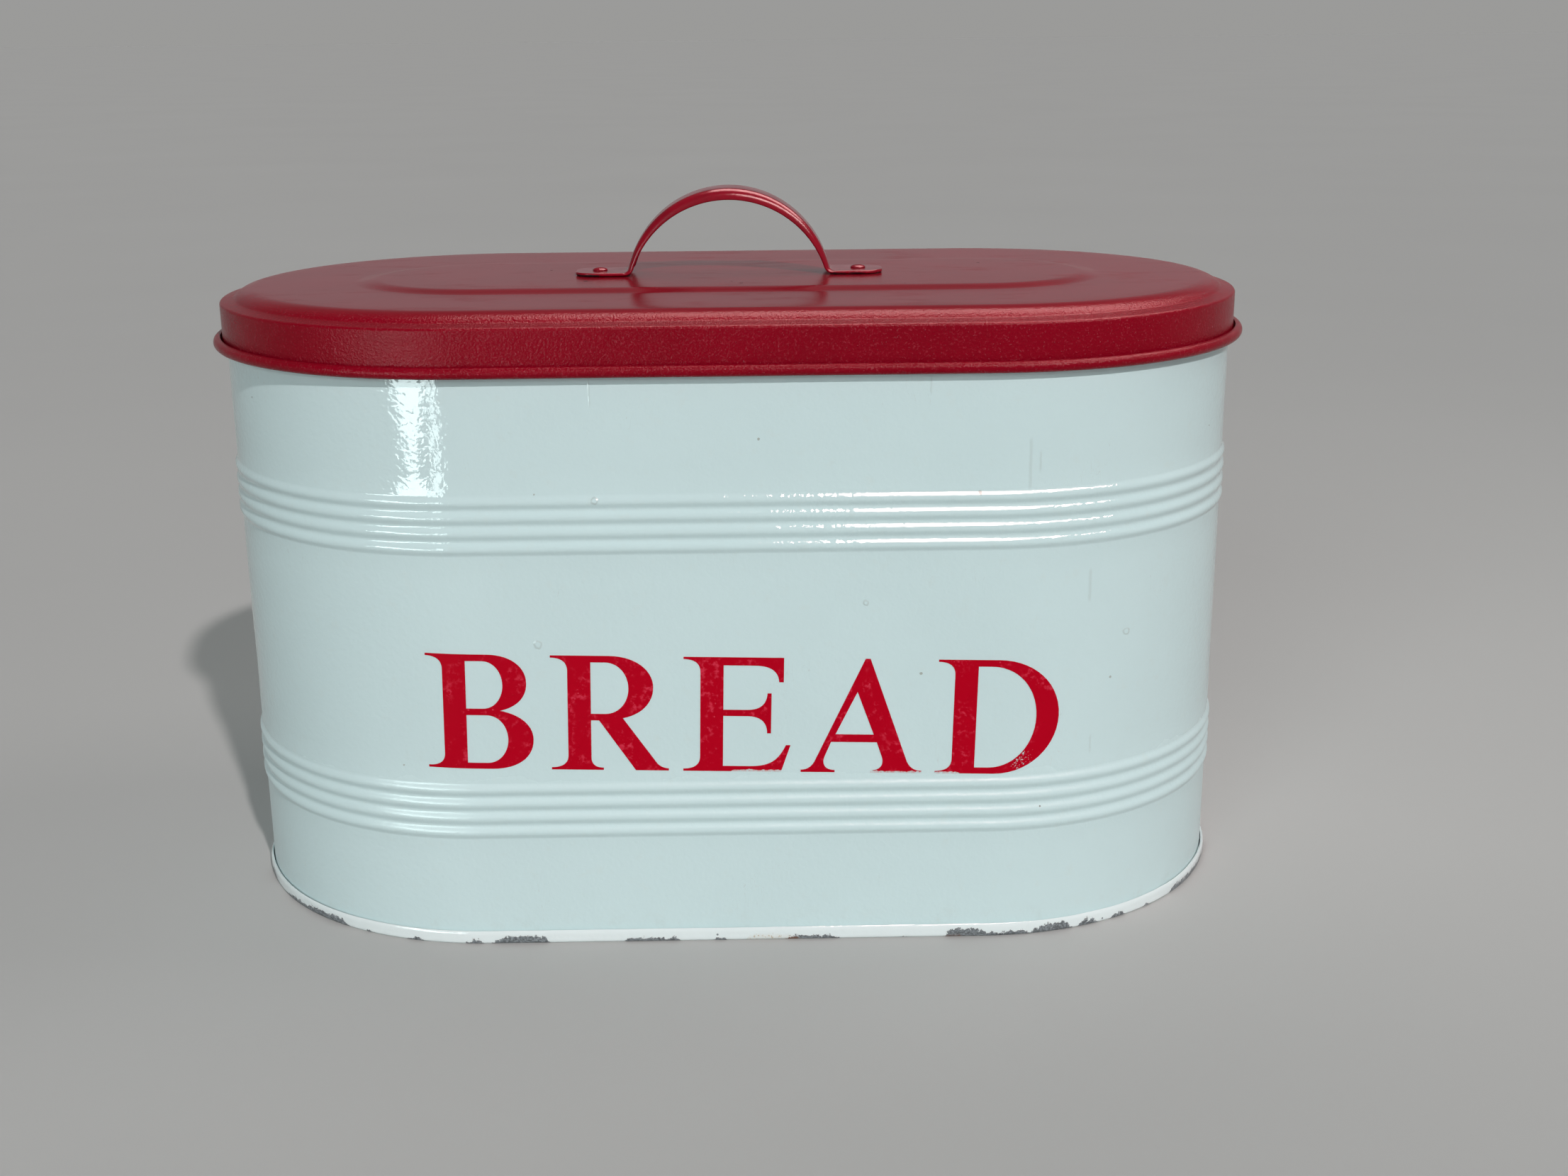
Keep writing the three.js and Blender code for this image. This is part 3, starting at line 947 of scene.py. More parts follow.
@dataclass(frozen=True)
class Station:
    """One place round the oval. A point there is its foot plus the offset times its direction.

    Attributes:
        foot: The point on the wall's outer face, along X and Y.
        out: How the point moves with the offset.
    """

    foot: Point
    out: Point

    def at(self, offset: float) -> Point:
        """The point at an offset."""
        return (self.foot[0] + self.out[0] * offset, self.foot[1] + self.out[1] * offset)


@dataclass(frozen=True)
class Oval:
    """The plan that every sheet piece follows: two straight sides and two half-ellipse ends.

    Attributes:
        straight_half: Half the straight side.
        end_reach: How far each rounded end reaches beyond the straight side.
        half_depth: Half the depth.
        end_steps: The steps round each end.
        side_step: The step along a straight side.
        seam_lines: Places along X that the back always has a station at.
    """

    straight_half: float = 79.0
    end_reach: float = 86.0
    half_depth: float = 82.5
    end_steps: int = 72
    side_step: float = 2.6
    seam_lines: tuple[float, ...] = (2.6, 3.0, 3.3, 3.7, 4.2)

    def stations(self) -> list[Station]:
        """The stations round the oval, anticlockwise from above."""
        found = []
        steps = round(2 * self.straight_half / self.side_step)
        side = {self.straight_half * (2 * i / steps - 1) for i in range(1, steps)}
        back = sorted(side | {s * line for s in (-1, 1) for line in self.seam_lines}, reverse=True)
        for sign in (1, -1):
            for i in range(self.end_steps + 1):
                angle = math.pi * (i / self.end_steps - 0.5)
                cos, sin = sign * math.cos(angle), sign * math.sin(angle)
                foot = (sign * self.straight_half + self.end_reach * cos, self.half_depth * sin)
                found.append(Station(foot, (cos, sin)))
            xs = back if sign > 0 else sorted(side)
            found += [Station((x, sign * self.half_depth), (0.0, float(sign))) for x in xs]
        return found

    def front(self, across: float, offset: float) -> float:
        """The place along Y of the front at a place along X.

        Args:
            across: The place along X.
            offset: The offset outwards.

        Returns:
            The place along Y.
        """
        beyond = max(0.0, abs(across) - self.straight_half)
        cos = min(1.0, beyond / (self.end_reach + offset))
        return -(self.half_depth + offset) * math.sqrt(1 - cos * cos)

    def sweep(
        self,
        name: str,
        profile: Sequence[Point],
        closed: bool,
        bulge: Callable[[float, float, float], float] | None = None,
    ) -> bpy.types.Object:
        """Sweeps a profile round the oval.

        Args:
            name: The object's name.
            profile: The profile, its solid on its left. Its two ends are capped unless it is closed.
            closed: Whether the profile's end meets its start.
            bulge: An extra offset for a place along X, Y and Z.

        Returns:
            The object.
        """
        stations = self.stations()
        count = len(stations)
        points = []
        for offset, height in profile:
            for station in stations:
                x, y = station.at(offset)
                extra = bulge(x, y, height) if bulge else 0.0
                points.append((*station.at(offset + extra), height))
        faces = ring_faces(len(profile), count, closed)
        if not closed:
            faces += end_caps(len(profile), count)
        return make_object(name, points, faces)


# ---- Sub-assemblies ----


@dataclass
class SeamWear:
    """Where the base seam is chipped and rusty along its lower edge.

    Attributes:
        chips: (start, end, height) along X on the front.
        rust: (start, end, height) along X on the front.
        hidden: How many chips the ends and the back have.
        seed: The seed that scatters those.
        none: The height that stands for no chip and no rust.
        front_fall: How fast a mark on the front falls off beyond its ends.
        hidden_fall: How fast a scattered chip falls off.
    """

    CHIPS = "chip_height"
    RUST = "rust_height"

    chips: tuple[tuple[float, float, float], ...] = (
        (-152.0, -146.0, 1.5), (-143.0, -127.0, 2.1), (-121.0, -117.0, 0.7), (-105.0, -101.0, 1.0),
        (-86.0, -80.0, 1.4), (-76.0, -61.0, 2.2), (-35.0, -18.0, 1.1), (-8.0, -3.0, 0.6),
        (16.0, 32.0, 1.1), (52.0, 55.0, 0.6), (67.0, 78.5, 2.5), (83.0, 91.0, 1.4),
        (95.0, 106.5, 2.6), (110.0, 115.5, 2.2), (121.5, 126.5, 1.3), (133.0, 137.0, 1.0),
        (145.0, 161.0, 1.8),
    )
    rust: tuple[tuple[float, float, float], ...] = ((4.0, 19.0, 2.2), (66.0, 72.0, 0.8))
    hidden: int = 22
    seed: int = 11
    none: float = -3.0
    front_fall: float = 2.4
    hidden_fall: float = 4.0

    def mark(self, shape: bpy.types.Object, oval: Oval) -> None:
        """Stores how high the chips and the rust reach on the base's mesh.

        Args:
            shape: The base.
            oval: The plan that it follows.
        """
        rng = random.Random(self.seed)
        scattered = []
        for _ in range(self.hidden):
            angle = rng.uniform(-0.12, 1.12) * math.pi
            scattered.append((angle, rng.uniform(0.012, 0.05), rng.uniform(0.6, 2.4)))
        for name, spans in ((self.CHIPS, self.chips), (self.RUST, self.rust)):
            stored = shape.data.attributes.new(name, "FLOAT", "POINT")
            for vertex, cell in zip(shape.data.vertices, stored.data):
                x, y, _ = vertex.co / MM
                level = self.none
                if y < 0:
                    level = max(level, *(self._reach(x, *found) for found in spans))
                if name == self.CHIPS:
                    angle = math.atan2(y / oval.half_depth, x / (oval.straight_half + oval.end_reach))
                    for middle, half, height in scattered:
                        near = abs(math.remainder(angle - middle, 2 * math.pi)) / half
                        level = max(level, height - max(0.0, near - 0.6) * self.hidden_fall)
                cell.value = level

    def _reach(self, x: float, start: float, end: float, height: float) -> float:
        """How high one mark reaches at a place along X."""
        return height - max(start - x, x - end, 0.0) * self.front_fall


@dataclass
class Wall:
    """The body: a sheet bent into an oval, with two bands of beads and a top edge rolled inwards.

    Attributes:
        oval: Its plan.
        sheet: Its thickness.
        bottom: The height of its lower edge.
        top: The height of its rolled top edge.
        bead_count: The beads in each band.
        bead_pitch: The distance between them.
        bead_width: The width of one.
        bead_height: How far one stands out.
        bands: The heights of the two bands' middles.
        curl_radius: The rolled edge's radius, to the middle of the sheet.
        curl_turn: How far it turns, in degrees.
        sway: How far the panels sway in and out.
        sway_low: The heights between which the sway sets in.
        sway_high: The heights between which it dies out.
        swell: How wide its waves are, along the wall and up it.
        calm: How far from a band the sway is back in full.
        seam_half: Half the width of the lock seam at the back, at its foot.
        seam_side: The width of each of its sloping sides.
        seam_height: How far it stands out.
        seam_clear: How far below the top edge the lock seam ends.
    """

    oval: Oval
    sheet: float = 0.6
    bottom: float = 0.9
    top: float = 196.6
    bead_count: int = 4
    bead_pitch: float = 4.8
    bead_width: float = 4.7
    bead_height: float = 0.85
    bands: tuple[float, float] = (45.2, 137.4)
    curl_radius: float = 1.5
    curl_turn: float = 250.0
    sway: float = 0.09
    sway_low: Point = (6.0, 24.0)
    sway_high: Point = (162.0, 176.0)
    swell: Point = (58.0, 41.0)
    calm: float = 22.0
    seam_half: float = 3.9
    seam_side: float = 0.9
    seam_height: float = 0.55
    seam_clear: float = 4.0

    def bead_offset(self, height: float) -> float:
        """How far the beads stand out at a height.

        Args:
            height: The height.

        Returns:
            The offset.
        """
        for band in self.bands:
            for i in range(self.bead_count):
                away = abs(height - band - (i - (self.bead_count - 1) / 2) * self.bead_pitch)
                if away < self.bead_width / 2:
                    wave = math.cos(2 * math.pi * away / self.bead_width)
                    return self.bead_height * (0.5 + 0.5 * wave)
        return 0.0

    def sway_offset(self, x: float, y: float, height: float) -> float:
        """How far the sheet stands in or out of its true place.

        Args:
            x: The place along X.
            y: The place along Y.
            height: The height.

        Returns:
            The extra offset.
        """
        (low, full), (fading, high) = self.sway_low, self.sway_high
        fade = clamp((height - low) / (full - low)) * clamp((high - height) / (high - fading))
        calm = clamp(min(abs(height - band) for band in self.bands) / self.calm)
        along, up = self.swell
        swell = noise.noise(Vector((x / along, y / along, height / up)))
        seam = 0.0
        if y > 0 and height < self.top - self.seam_clear:
            seam = self.seam_height * clamp((self.seam_half - abs(x)) / self.seam_side)
        return self.sway * fade * (0.35 + 0.65 * calm) * swell + seam

    def _line(self) -> list[Point]:
        """The middle of the sheet, upwards and then round the rolled edge."""
        half = self.sheet / 2
        heights = [self.bottom]
        reach = (self.bead_count - 1) / 2 * self.bead_pitch + self.bead_width / 2
        for band in self.bands:
            plain = heights[-1]
            heights += [h for _, h in span((0, plain), (0, band - reach), 7.0)]
            steps = self.bead_count * 12
            heights += [band - reach + 2 * reach * i / steps for i in range(steps + 1)]
        shoulder = self.top - half - self.curl_radius
        heights += [h for _, h in span((0, heights[-1]), (0, shoulder), 7.0)]
        upright = [(self.bead_offset(h) - half, h) for h in heights]
        curl = (-half - self.curl_radius, shoulder)
        return upright + arc(curl, self.curl_radius, 0, self.curl_turn, 18)

    def build(self) -> Piece:
        """Builds the wall."""
        profile = sheet_profile(self._line(), self.sheet)
        shape = self.oval.sweep("enamel_wall", profile, True, self.sway_offset)
        piece = Piece(shape, Body.BIN, ("body_wall",), Slot.WHITE_ENAMEL)
        piece.fit(WhiteEnamel().wall("white_enamel_wall", WallMarks()), sharp=50.0)
        return piece


@dataclass
class BasePan:
    """The base: a recessed floor whose edge folds down, out and up round the wall's lower edge.

    Attributes:
        oval: Its plan.
        sheet: Its thickness.
        height: The height of the seam.
        reach: How far the seam stands out from the wall.
        wall_gap: The distance between the wall and the seam's inner side.
        bend: The radius of its bends, to the middle of the sheet.
        dents: How uneven the seam is.
        dent_sizes: How wide its large and its small dents are.
        sunk: How far it lies in from its true place.
        free_from: The offset beyond which it is dented.
        wear: Where it is chipped and rusty.
    """

    oval: Oval
    sheet: float = 0.6
    height: float = 4.6
    reach: float = 1.4
    wall_gap: float = 0.55
    bend: float = 0.75
    dents: float = 0.16
    dent_sizes: tuple[float, float] = (15.0, 5.0)
    sunk: float = 0.1
    free_from: float = 0.2
    wear: SeamWear = field(default_factory=SeamWear)

    def _line(self) -> list[Point]:
        """The middle of the sheet, from the floor outwards and up the seam."""
        half = self.sheet / 2
        inner = -self.sheet - self.wall_gap - half
        outer = self.reach - half
        floor = self.height - self.sheet
        bend = self.bend
        line = [(inner - 6.0, floor)]
        line += arc((inner - bend, floor - bend), bend, 90, 0, 5)
        line += arc((inner + bend, half + bend), bend, 180, 270, 6)
        line += arc((outer - bend - 0.1, half + bend), bend + 0.1, 270, 360, 8)
        line += span(line[-1], (outer, self.height - 1.5), 0.6)
        lean = ((0.0, 1.5), (0.06, 1.1), (0.22, 0.7), (0.42, 0.42))
        return line + [(outer - inwards, self.height - below) for inwards, below in lean]

    def _dent(self, x: float, y: float, height: float) -> float:
        """How far the seam is knocked in or out.

        Args:
            x: The place along X.
            y: The place along Y.
            height: The height.

        Returns:
            The extra offset.
        """
        large, small = self.dent_sizes
        swell = noise.noise(Vector((x / large, y / large, 3.1)))
        swell += 0.6 * noise.noise(Vector((x / small, y / small, 8.7)))
        return self.dents * swell * (0.4 + 0.6 * clamp(height / self.height)) - self.sunk

    def build(self) -> Piece:
        """Builds the base."""
        shape = self.oval.sweep("seamed_base", sheet_profile(self._line(), self.sheet), False)
        side = self.oval.straight_half
        for vertex in shape.data.vertices:
            x, y, z = vertex.co / MM
            beyond = x - max(-side, min(side, x))
            if math.hypot(beyond, y) - self.oval.half_depth > self.free_from:
                vertex.co += Vector((beyond, y, 0)).normalized() * self._dent(x, y, z) * MM
        self.wear.mark(shape, self.oval)
        piece = Piece(shape, Body.BIN, ("base_pan",), Slot.WHITE_ENAMEL)
        piece.fit(WhiteEnamel().seam("white_enamel_seam"), sharp=50.0)
        return piece


@dataclass
class Lid:
    """The lid: raised middle panel, flat panel, rounded shoulder, ledge, skirt and open rolled rim.

    Attributes:
        oval: Its plan.
        sheet: Its thickness.
        seat: The height of the wall's top, which the ledge sits on.
        seat_gap: The distance between them.
        skirt_gap: The distance between the wall and the skirt.
        skirt_depth: The distance from the ledge down to the bottom of the rim.
        ledge_inner: The offset at which the ledge meets the shoulder.
        ledge_fall: How far the ledge slopes down from there to the skirt.
        seat_fall: How far it has fallen where it passes over the wall's rolled edge.
        panel_edge: The offset at which the shoulder meets the flat panel.
        ring_edge: The offset of the foot of the raised panel.
        ring_slope: The width of the slope up to it.
        ring_rise: The height of the raised panel.
        shoulder_rise: The height of the flat panel over the ledge.
        corner: The radius of the skirt's top corner.
        curl_radius: The rim's radius, to the middle of the sheet.
        curl_turn: How far it turns, in degrees.
        sway: How far the skirt stands in or out of its true place.
        sway_size: How wide that sway's waves are.
        chips: (place along X and Y, radius) of the chips in its top.
    """

    oval: Oval
    sheet: float = 0.6
    seat: float = 196.6
    seat_gap: float = 0.3
    skirt_gap: float = 0.65
    skirt_depth: float = 15.5
    ledge_inner: float = -3.4
    ledge_fall: float = 0.75
    seat_fall: float = 0.3
    panel_edge: float = -10.0
    ring_edge: float = -41.5
    ring_slope: float = 8.5
    ring_rise: float = 1.0
    shoulder_rise: float = 2.9
    corner: float = 0.7
    curl_radius: float = 1.5
    curl_turn: float = 285.0
    sway: float = 0.1
    sway_size: float = 50.0
    chips: tuple[tuple[Point, float], ...] = (
        ((-46.0, -17.5), 1.0), ((1.0, -22.0), 0.5), ((4.0, -26.0), 0.75), ((2.5, -20.0), 0.35),
        ((40.0, -19.0), 0.45), ((56.0, -31.0), 0.5), ((-60.0, 12.0), 0.6), ((85.0, 20.0), 0.5),
    )

    @property
    def ledge_top(self) -> float:
        """The height of the ledge's upper side."""
        return self.seat + self.seat_gap + self.sheet + self.seat_fall

    @property
    def raised_top(self) -> float:
        """The height of the raised panel's upper side."""
        return self.ledge_top + self.shoulder_rise + self.ring_rise

    def _slope(self, panel: float) -> list[Point]:
        """The slope from the raised panel down to the flat one, with soft bends.

        Args:
            panel: The height of the flat panel.

        Returns:
            Its points, outwards.
        """
        points = []
        steps = 16
        for i in range(steps + 1):
            t = i / steps
            rise = 1 - t * t * (3 - 2 * t)
            points.append((self.ring_edge - self.ring_slope * (1 - t), panel + self.ring_rise * rise))
        return points

    def _shoulder(self, panel: float, ledge: float) -> list[Point]:
        """The rounded shoulder, from the flat panel down to the ledge.

        Args:
            panel: The height of the flat panel.
            ledge: The height of the ledge.

        Returns:
            Its points, outwards.
        """
        start = Vector((self.panel_edge, panel))
        control = Vector((self.ledge_inner - 2.2, panel - 0.2))
        end = Vector((self.ledge_inner, ledge + 0.1))
        steps = 18
        points = []
        for i in range(steps + 1):
            t = i / steps
            spot = start * (1 - t) ** 2 + control * (2 * t * (1 - t)) + end * t * t
            points.append((spot.x, spot.y))
        return points

    def _line(self) -> list[Point]:
        """The middle of the sheet, from the raised panel outwards to the end of the rim."""
        half = self.sheet / 2
        skirt = self.skirt_gap + half
        ledge = self.ledge_top - half
        panel = ledge + self.shoulder_rise
        curl = (skirt + self.curl_radius, self.ledge_top - self.skirt_depth + half + self.curl_radius)
        start = (-81.0, panel + self.ring_rise)
        slope = self._slope(panel)
        line = [start, *span(start, slope[0], 6.0), *slope]
        line += span(line[-1], (self.panel_edge, panel), 6.0)
        foot = (self.ledge_inner + 0.35, ledge)
        line += [*self._shoulder(panel, ledge), foot]
        slant = math.degrees(math.atan2(self.ledge_fall, skirt - self.corner - foot[0]))
        corner_low = ledge - self.ledge_fall - self.corner
        corner = arc((skirt - self.corner, corner_low), self.corner, 90 - slant, 0, 8)
        line += span(foot, corner[0], 0.8) + corner
        line += span(corner[-1], (skirt, curl[1]), 2.5)
        line += arc(curl, self.curl_radius, 180, 180 + self.curl_turn, 30)
        return line

    def _sway(self, x: float, y: float, _height: float) -> float:
        """How far the lid stands in or out of its true place, alike at every height."""
        return self.sway * noise.noise(Vector((x / self.sway_size, y / self.sway_size, 5.0)))

    def build(self, rivets: "Rivets") -> Piece:
        """Builds the lid.

        Args:
            rivets: The rivets that go through it.

        Returns:
            The lid.
        """
        profile = sheet_profile(self._line(), self.sheet)
        shape = self.oval.sweep("pressed_lid", profile[::-1], False, self._sway)
        bore(shape, rivets.centres, rivets.bore_radius, self.raised_top - 3, self.raised_top + 3)
        piece = Piece(shape, Body.LID, ("lid_shell",), Slot.RED_LACQUER)
        skirt_top = self.ledge_top - self.sheet
        piece.fit(RedLacquer().material("red_lacquer_lid", skirt_top, self.chips), sharp=50.0)
        return piece


@dataclass
class Strap:
    """The handle: a strap from tab to tab over an arch, its edges rolled down along the arch.

    Attributes:
        seat: The height of the panel under the tabs.
        gap: The distance between the panel and the tabs.
        thickness: The strap's thickness.
        half_width: Half its width at the top of the arch.
        foot_half_width: Half its width at the tabs.
        arch_radius: The arch's radius, to the middle of the strap.
        arch_drop: How far the arch's centre lies below the panel.
        lip: How far the edges are rolled down at the top.
        foot_lip: How far they are rolled down at the feet.
        crown: How much the strap is crowned.
        bend: The radius of the bend into each tab.
        tab_length: The length of each tab, from the bend.
        tab_corner: The radius of its corners.
        roll: The radius of the rolled edges.
        low_edge_dark: How far up from the tabs' undersides the paint is darkened.
        arch_steps: The steps along the arch.
    """

    seat: float
    gap: float = 0.3
    thickness: float = 1.0
    half_width: float = 9.0
    foot_half_width: float = 8.0
    arch_radius: float = 33.6
    arch_drop: float = 5.7
    lip: float = 2.8
    foot_lip: float = 0.9
    crown: float = 0.45
    bend: float = 2.2
    tab_length: float = 15.9
    tab_corner: float = 6.5
    roll: float = 1.9
    low_edge_dark: float = 0.55
    arch_steps: int = 72

    @property
    def tab_middle(self) -> float:
        """The height of the middle of the tabs' thickness."""
        return self.seat + self.gap + self.thickness / 2

    @property
    def arch_height(self) -> float:
        """The height of the arch's centre."""
        return self.seat - self.arch_drop

    @property
    def bend_rise(self) -> float:
        """The height of a bend's centre over the arch's centre."""
        return self.tab_middle + self.bend - self.arch_height

    @property
    def bend_x(self) -> float:
        """How far each bend's centre is from the middle."""
        return math.sqrt((self.arch_radius + self.bend) ** 2 - self.bend_rise**2)

    def _section(self, half: float, lip: float, thickness: float, crown: float) -> list[Point]:
        """The strap's section, as points across it and along its upward side.

        Args:
            half: Half the width.
            lip: How far the edges are rolled down.
            thickness: The thickness.
            crown: How much it is crowned.

        Returns:
            The closed section.
        """
        roll = min(self.roll, half * 0.4)
        flat = half - roll
        right = []
        for i in range(1, 9):
            across = flat * i / 8
            right.append((across, -crown * (across / half) ** 2))
        base = right[-1][1]
        for i in range(1, 9):
            angle = math.pi / 2 * i / 8
            right.append((flat + roll * math.sin(angle), base - (lip + 1e-3) * (1 - math.cos(angle))))
        line = [(-x, z) for x, z in reversed(right)] + [(0.0, 0.0)] + right
        lower, upper = beside(line, thickness / 2), beside(line, -thickness / 2)
        right_edge, left_edge = self._edge(lower[-1], upper[-1]), self._edge(upper[0], lower[0])
        return [*lower, *right_edge, *upper[::-1], *left_edge]

    @staticmethod
    def _edge(start: Point, end: Point) -> list[Point]:
        """Points round the strap's rounded cut edge, from one face to the other.

        Args:
            start: The last point of one face.
            end: The first point of the other.

        Returns:
            The points between them.
        """
        a, b = Vector(start), Vector(end)
        middle, half = (a + b) / 2, (b - a) / 2
        out = Vector((half.y, -half.x))
        points = []
        for i in range(1, 6):
            angle = math.pi * i / 6
            spot = middle - half * math.cos(angle) + out * math.sin(angle) * 0.6
            points.append((spot.x, spot.y))
        return points

    def _stations(self) -> list[tuple[float, float, float, list[Point]]]:
        """Stations along the right half: place along X, height, upward angle and section."""
        meet = math.atan2(self.bend_rise, self.bend_x)
        half = self.foot_half_width
        found = []
        alongs = [0.0, 0.08, 0.2, 0.4, 0.7, 1.1, 1.7, 2.5, 3.6, 5.0, self.tab_corner]
        alongs += [self.tab_corner + (self.tab_length - self.tab_corner) * i / 8 for i in range(1, 8)]
        for along in alongs:
            back = max(0.0, self.tab_corner - along)
            rounding = self.tab_corner - math.sqrt(self.tab_corner**2 - back**2)
            edge = min(1.0, along / 0.4)
            thickness = self.thickness * (0.45 + 0.55 * math.sqrt(1 - (1 - edge) ** 2))
            section = self._section(half - rounding, 0.0, thickness, 0.0)
            found.append((self.bend_x + self.tab_length - along, self.tab_middle, math.pi / 2, section))
        for i in range(11):
            share = i / 10
            turn = (math.pi / 2 - meet) * share
            lip, crown = self.foot_lip * share, self.crown * share * 0.4
            section = self._section(half, lip, self.thickness, crown)
            found.append((
                self.bend_x - self.bend * math.sin(turn),
                self.tab_middle + self.bend * (1 - math.cos(turn)),
                math.pi / 2 - turn,
                section,
            ))
        count = self.arch_steps // 2
        for i in range(1, count + 1):
            share = i / count
            rise = math.sin(math.pi / 2 * share)
            angle = meet + (math.pi / 2 - meet) * share
            section = self._section(
                half + (self.half_width - half) * rise,
                self.foot_lip + (self.lip - self.foot_lip) * rise,
                self.thickness,
                self.crown * (0.4 + 0.6 * rise),
            )
            found.append((
                self.arch_radius * math.cos(angle),
                self.arch_height + self.arch_radius * math.sin(angle),
                angle,
                section,
            ))
        return found

    def build(self, rivets: "Rivets") -> Piece:
        """Builds the strap.

        Args:
            rivets: The rivets that go through its tabs.

        Returns:
            The strap.
        """
        right = self._stations()
        left = [(-x, z, math.pi - up, section) for x, z, up, section in right[:-1]]
        rings = left + right[::-1]
        count = len(rings[0][3])
        points = [
            (x + above * math.cos(up), across, z + above * math.sin(up))
            for x, z, up, section in rings for across, above in section
        ]
        faces = ring_faces(len(rings), count) + end_caps(len(rings), count)
        shape = make_object("strap", points, faces)
        bore(shape, rivets.centres, rivets.bore_radius, self.seat - 2, self.seat + 4)
        piece = Piece(shape, Body.LID, ("handle_strap",), Slot.RED_GLOSS)
        piece.fit(RedGloss().material("red_gloss_strap", self.seat + self.gap + self.low_edge_dark))
        return piece


@dataclass
class Rivets:
    """The two rivets: a domed head on the tab, a shank, and a set tail inside the lid.

    Attributes:
        reach: How far each is from the middle.
        shank: The shank's radius.
        head: The head's radius.
        dome: The head's height.
        tail: The tail's radius.
        tail_height: The tail's height.
        edge: The radius of the head's edge.
        bore_gap: The distance between the shank and its hole.
        head_gap: The distance between the head and the tab.
        tail_gap: The distance between the tail and the lid.
        low_edge_dark: How far up from the heads' undersides the paint is darkened.
        turns: The steps round a rivet.
    """

    reach: float
    shank: float = 1.4
    head: float = 2.5
    dome: float = 1.1
    tail: float = 2.3
    tail_height: float = 0.9
    edge: float = 0.16
    bore_gap: float = 0.15
    head_gap: float = 0.02
    tail_gap: float = 0.05
    low_edge_dark: float = 0.12
    turns: int = 48

    @property
    def centres(self) -> tuple[Point, Point]:
        """The rivets' places along X and Y."""
        return (-self.reach, 0.0), (self.reach, 0.0)

    @property
    def bore_radius(self) -> float:
        """The radius of a rivet's hole."""
        return self.shank + self.bore_gap

    def _profile(self, head_base: float, tail_top: float) -> list[Point]:
        """The rivet's outline.

        Args:
            head_base: The height of the head's underside.
            tail_top: The height of the tail's upper side.

        Returns:
            Radius and height, from the bottom of the tail to the top of the head.
        """
        tail_low = tail_top - self.tail_height
        points = [(self.tail * 0.45, tail_low + 0.12), (self.tail * 0.62, tail_low)]
        points += arc((self.tail * 0.62, tail_top - 0.3), self.tail * 0.38, 270, 360, 6, 0.7)
        points += [(self.tail, tail_top - 0.05), (self.tail - 0.08, tail_top), (self.shank, tail_top)]
        points += [(self.shank, head_base), (self.head - 0.1, head_base)]
        dome_base = head_base + self.edge
        points += arc((self.head - self.edge, dome_base), self.edge, 290, 360, 4)
        for i in range(1, 9):
            angle = math.pi / 2 * i / 9
            height = dome_base + (self.dome - self.edge) * math.sin(angle)
            points.append((self.head * math.cos(angle), height))
        return points

    def build(self, head_base: float, tail_top: float) -> list[Piece]:
        """Builds both rivets.

        Args:
            head_base: The height of the head's underside.
            tail_top: The height of the tail's upper side.

        Returns:
            The left rivet and the right one.
        """
        material = RedGloss().material("red_gloss_rivets", head_base + self.low_edge_dark)
        profile = self._profile(head_base, tail_top)
        pieces = []
        for side, (x, y) in zip(("left", "right"), self.centres):
            points = []
            for radius, height in profile:
                for j in range(self.turns):
                    angle = 2 * math.pi * j / self.turns
                    points.append((x + radius * math.cos(angle), y + radius * math.sin(angle), height))
            faces = ring_faces(len(profile), self.turns)
            top = (len(profile) - 1) * self.turns
            points += [(x, y, profile[0][1] + 0.02), (x, y, head_base + self.dome)]
            last = len(points)
            for j in range(self.turns):
                faces.append((last - 2, (j + 1) % self.turns, j))
                faces.append((last - 1, top + j, top + (j + 1) % self.turns))
            shape = make_object(f"{side}_rivet", points, faces)
            piece = Piece(shape, Body.LID, (f"rivet_{side}",), Slot.RED_GLOSS)
            piece.fit(material)
            pieces.append(piece)
        return pieces


# ---- Lettering ----


class Outline:
    """A closed outline, drawn as a pen would draw it."""

    def __init__(self, x: float, y: float, steps: int = 14) -> None:
        """Puts the pen down at a point. Each curve takes a number of steps."""
        self.points: list[Point] = [(x, y)]
        self.steps = steps

    def line(self, *ends: Point) -> "Outline":
        """Draws straight lines to each point in turn."""
        self.points += ends
        return self

    def curve(self, *controls: Point) -> "Outline":
        """Draws a curve.

        Args:
            *controls: One or two control points, and the end.

        Returns:
            The outline.
        """
        start = self.points[-1]
        for i in range(1, self.steps + 1):
            t = i / self.steps
            row = [Vector(point) for point in (start, *controls)]
            while len(row) > 1:
                row = [a.lerp(b, t) for a, b in zip(row, row[1:])]
            self.points.append((row[0].x, row[0].y))
        return self


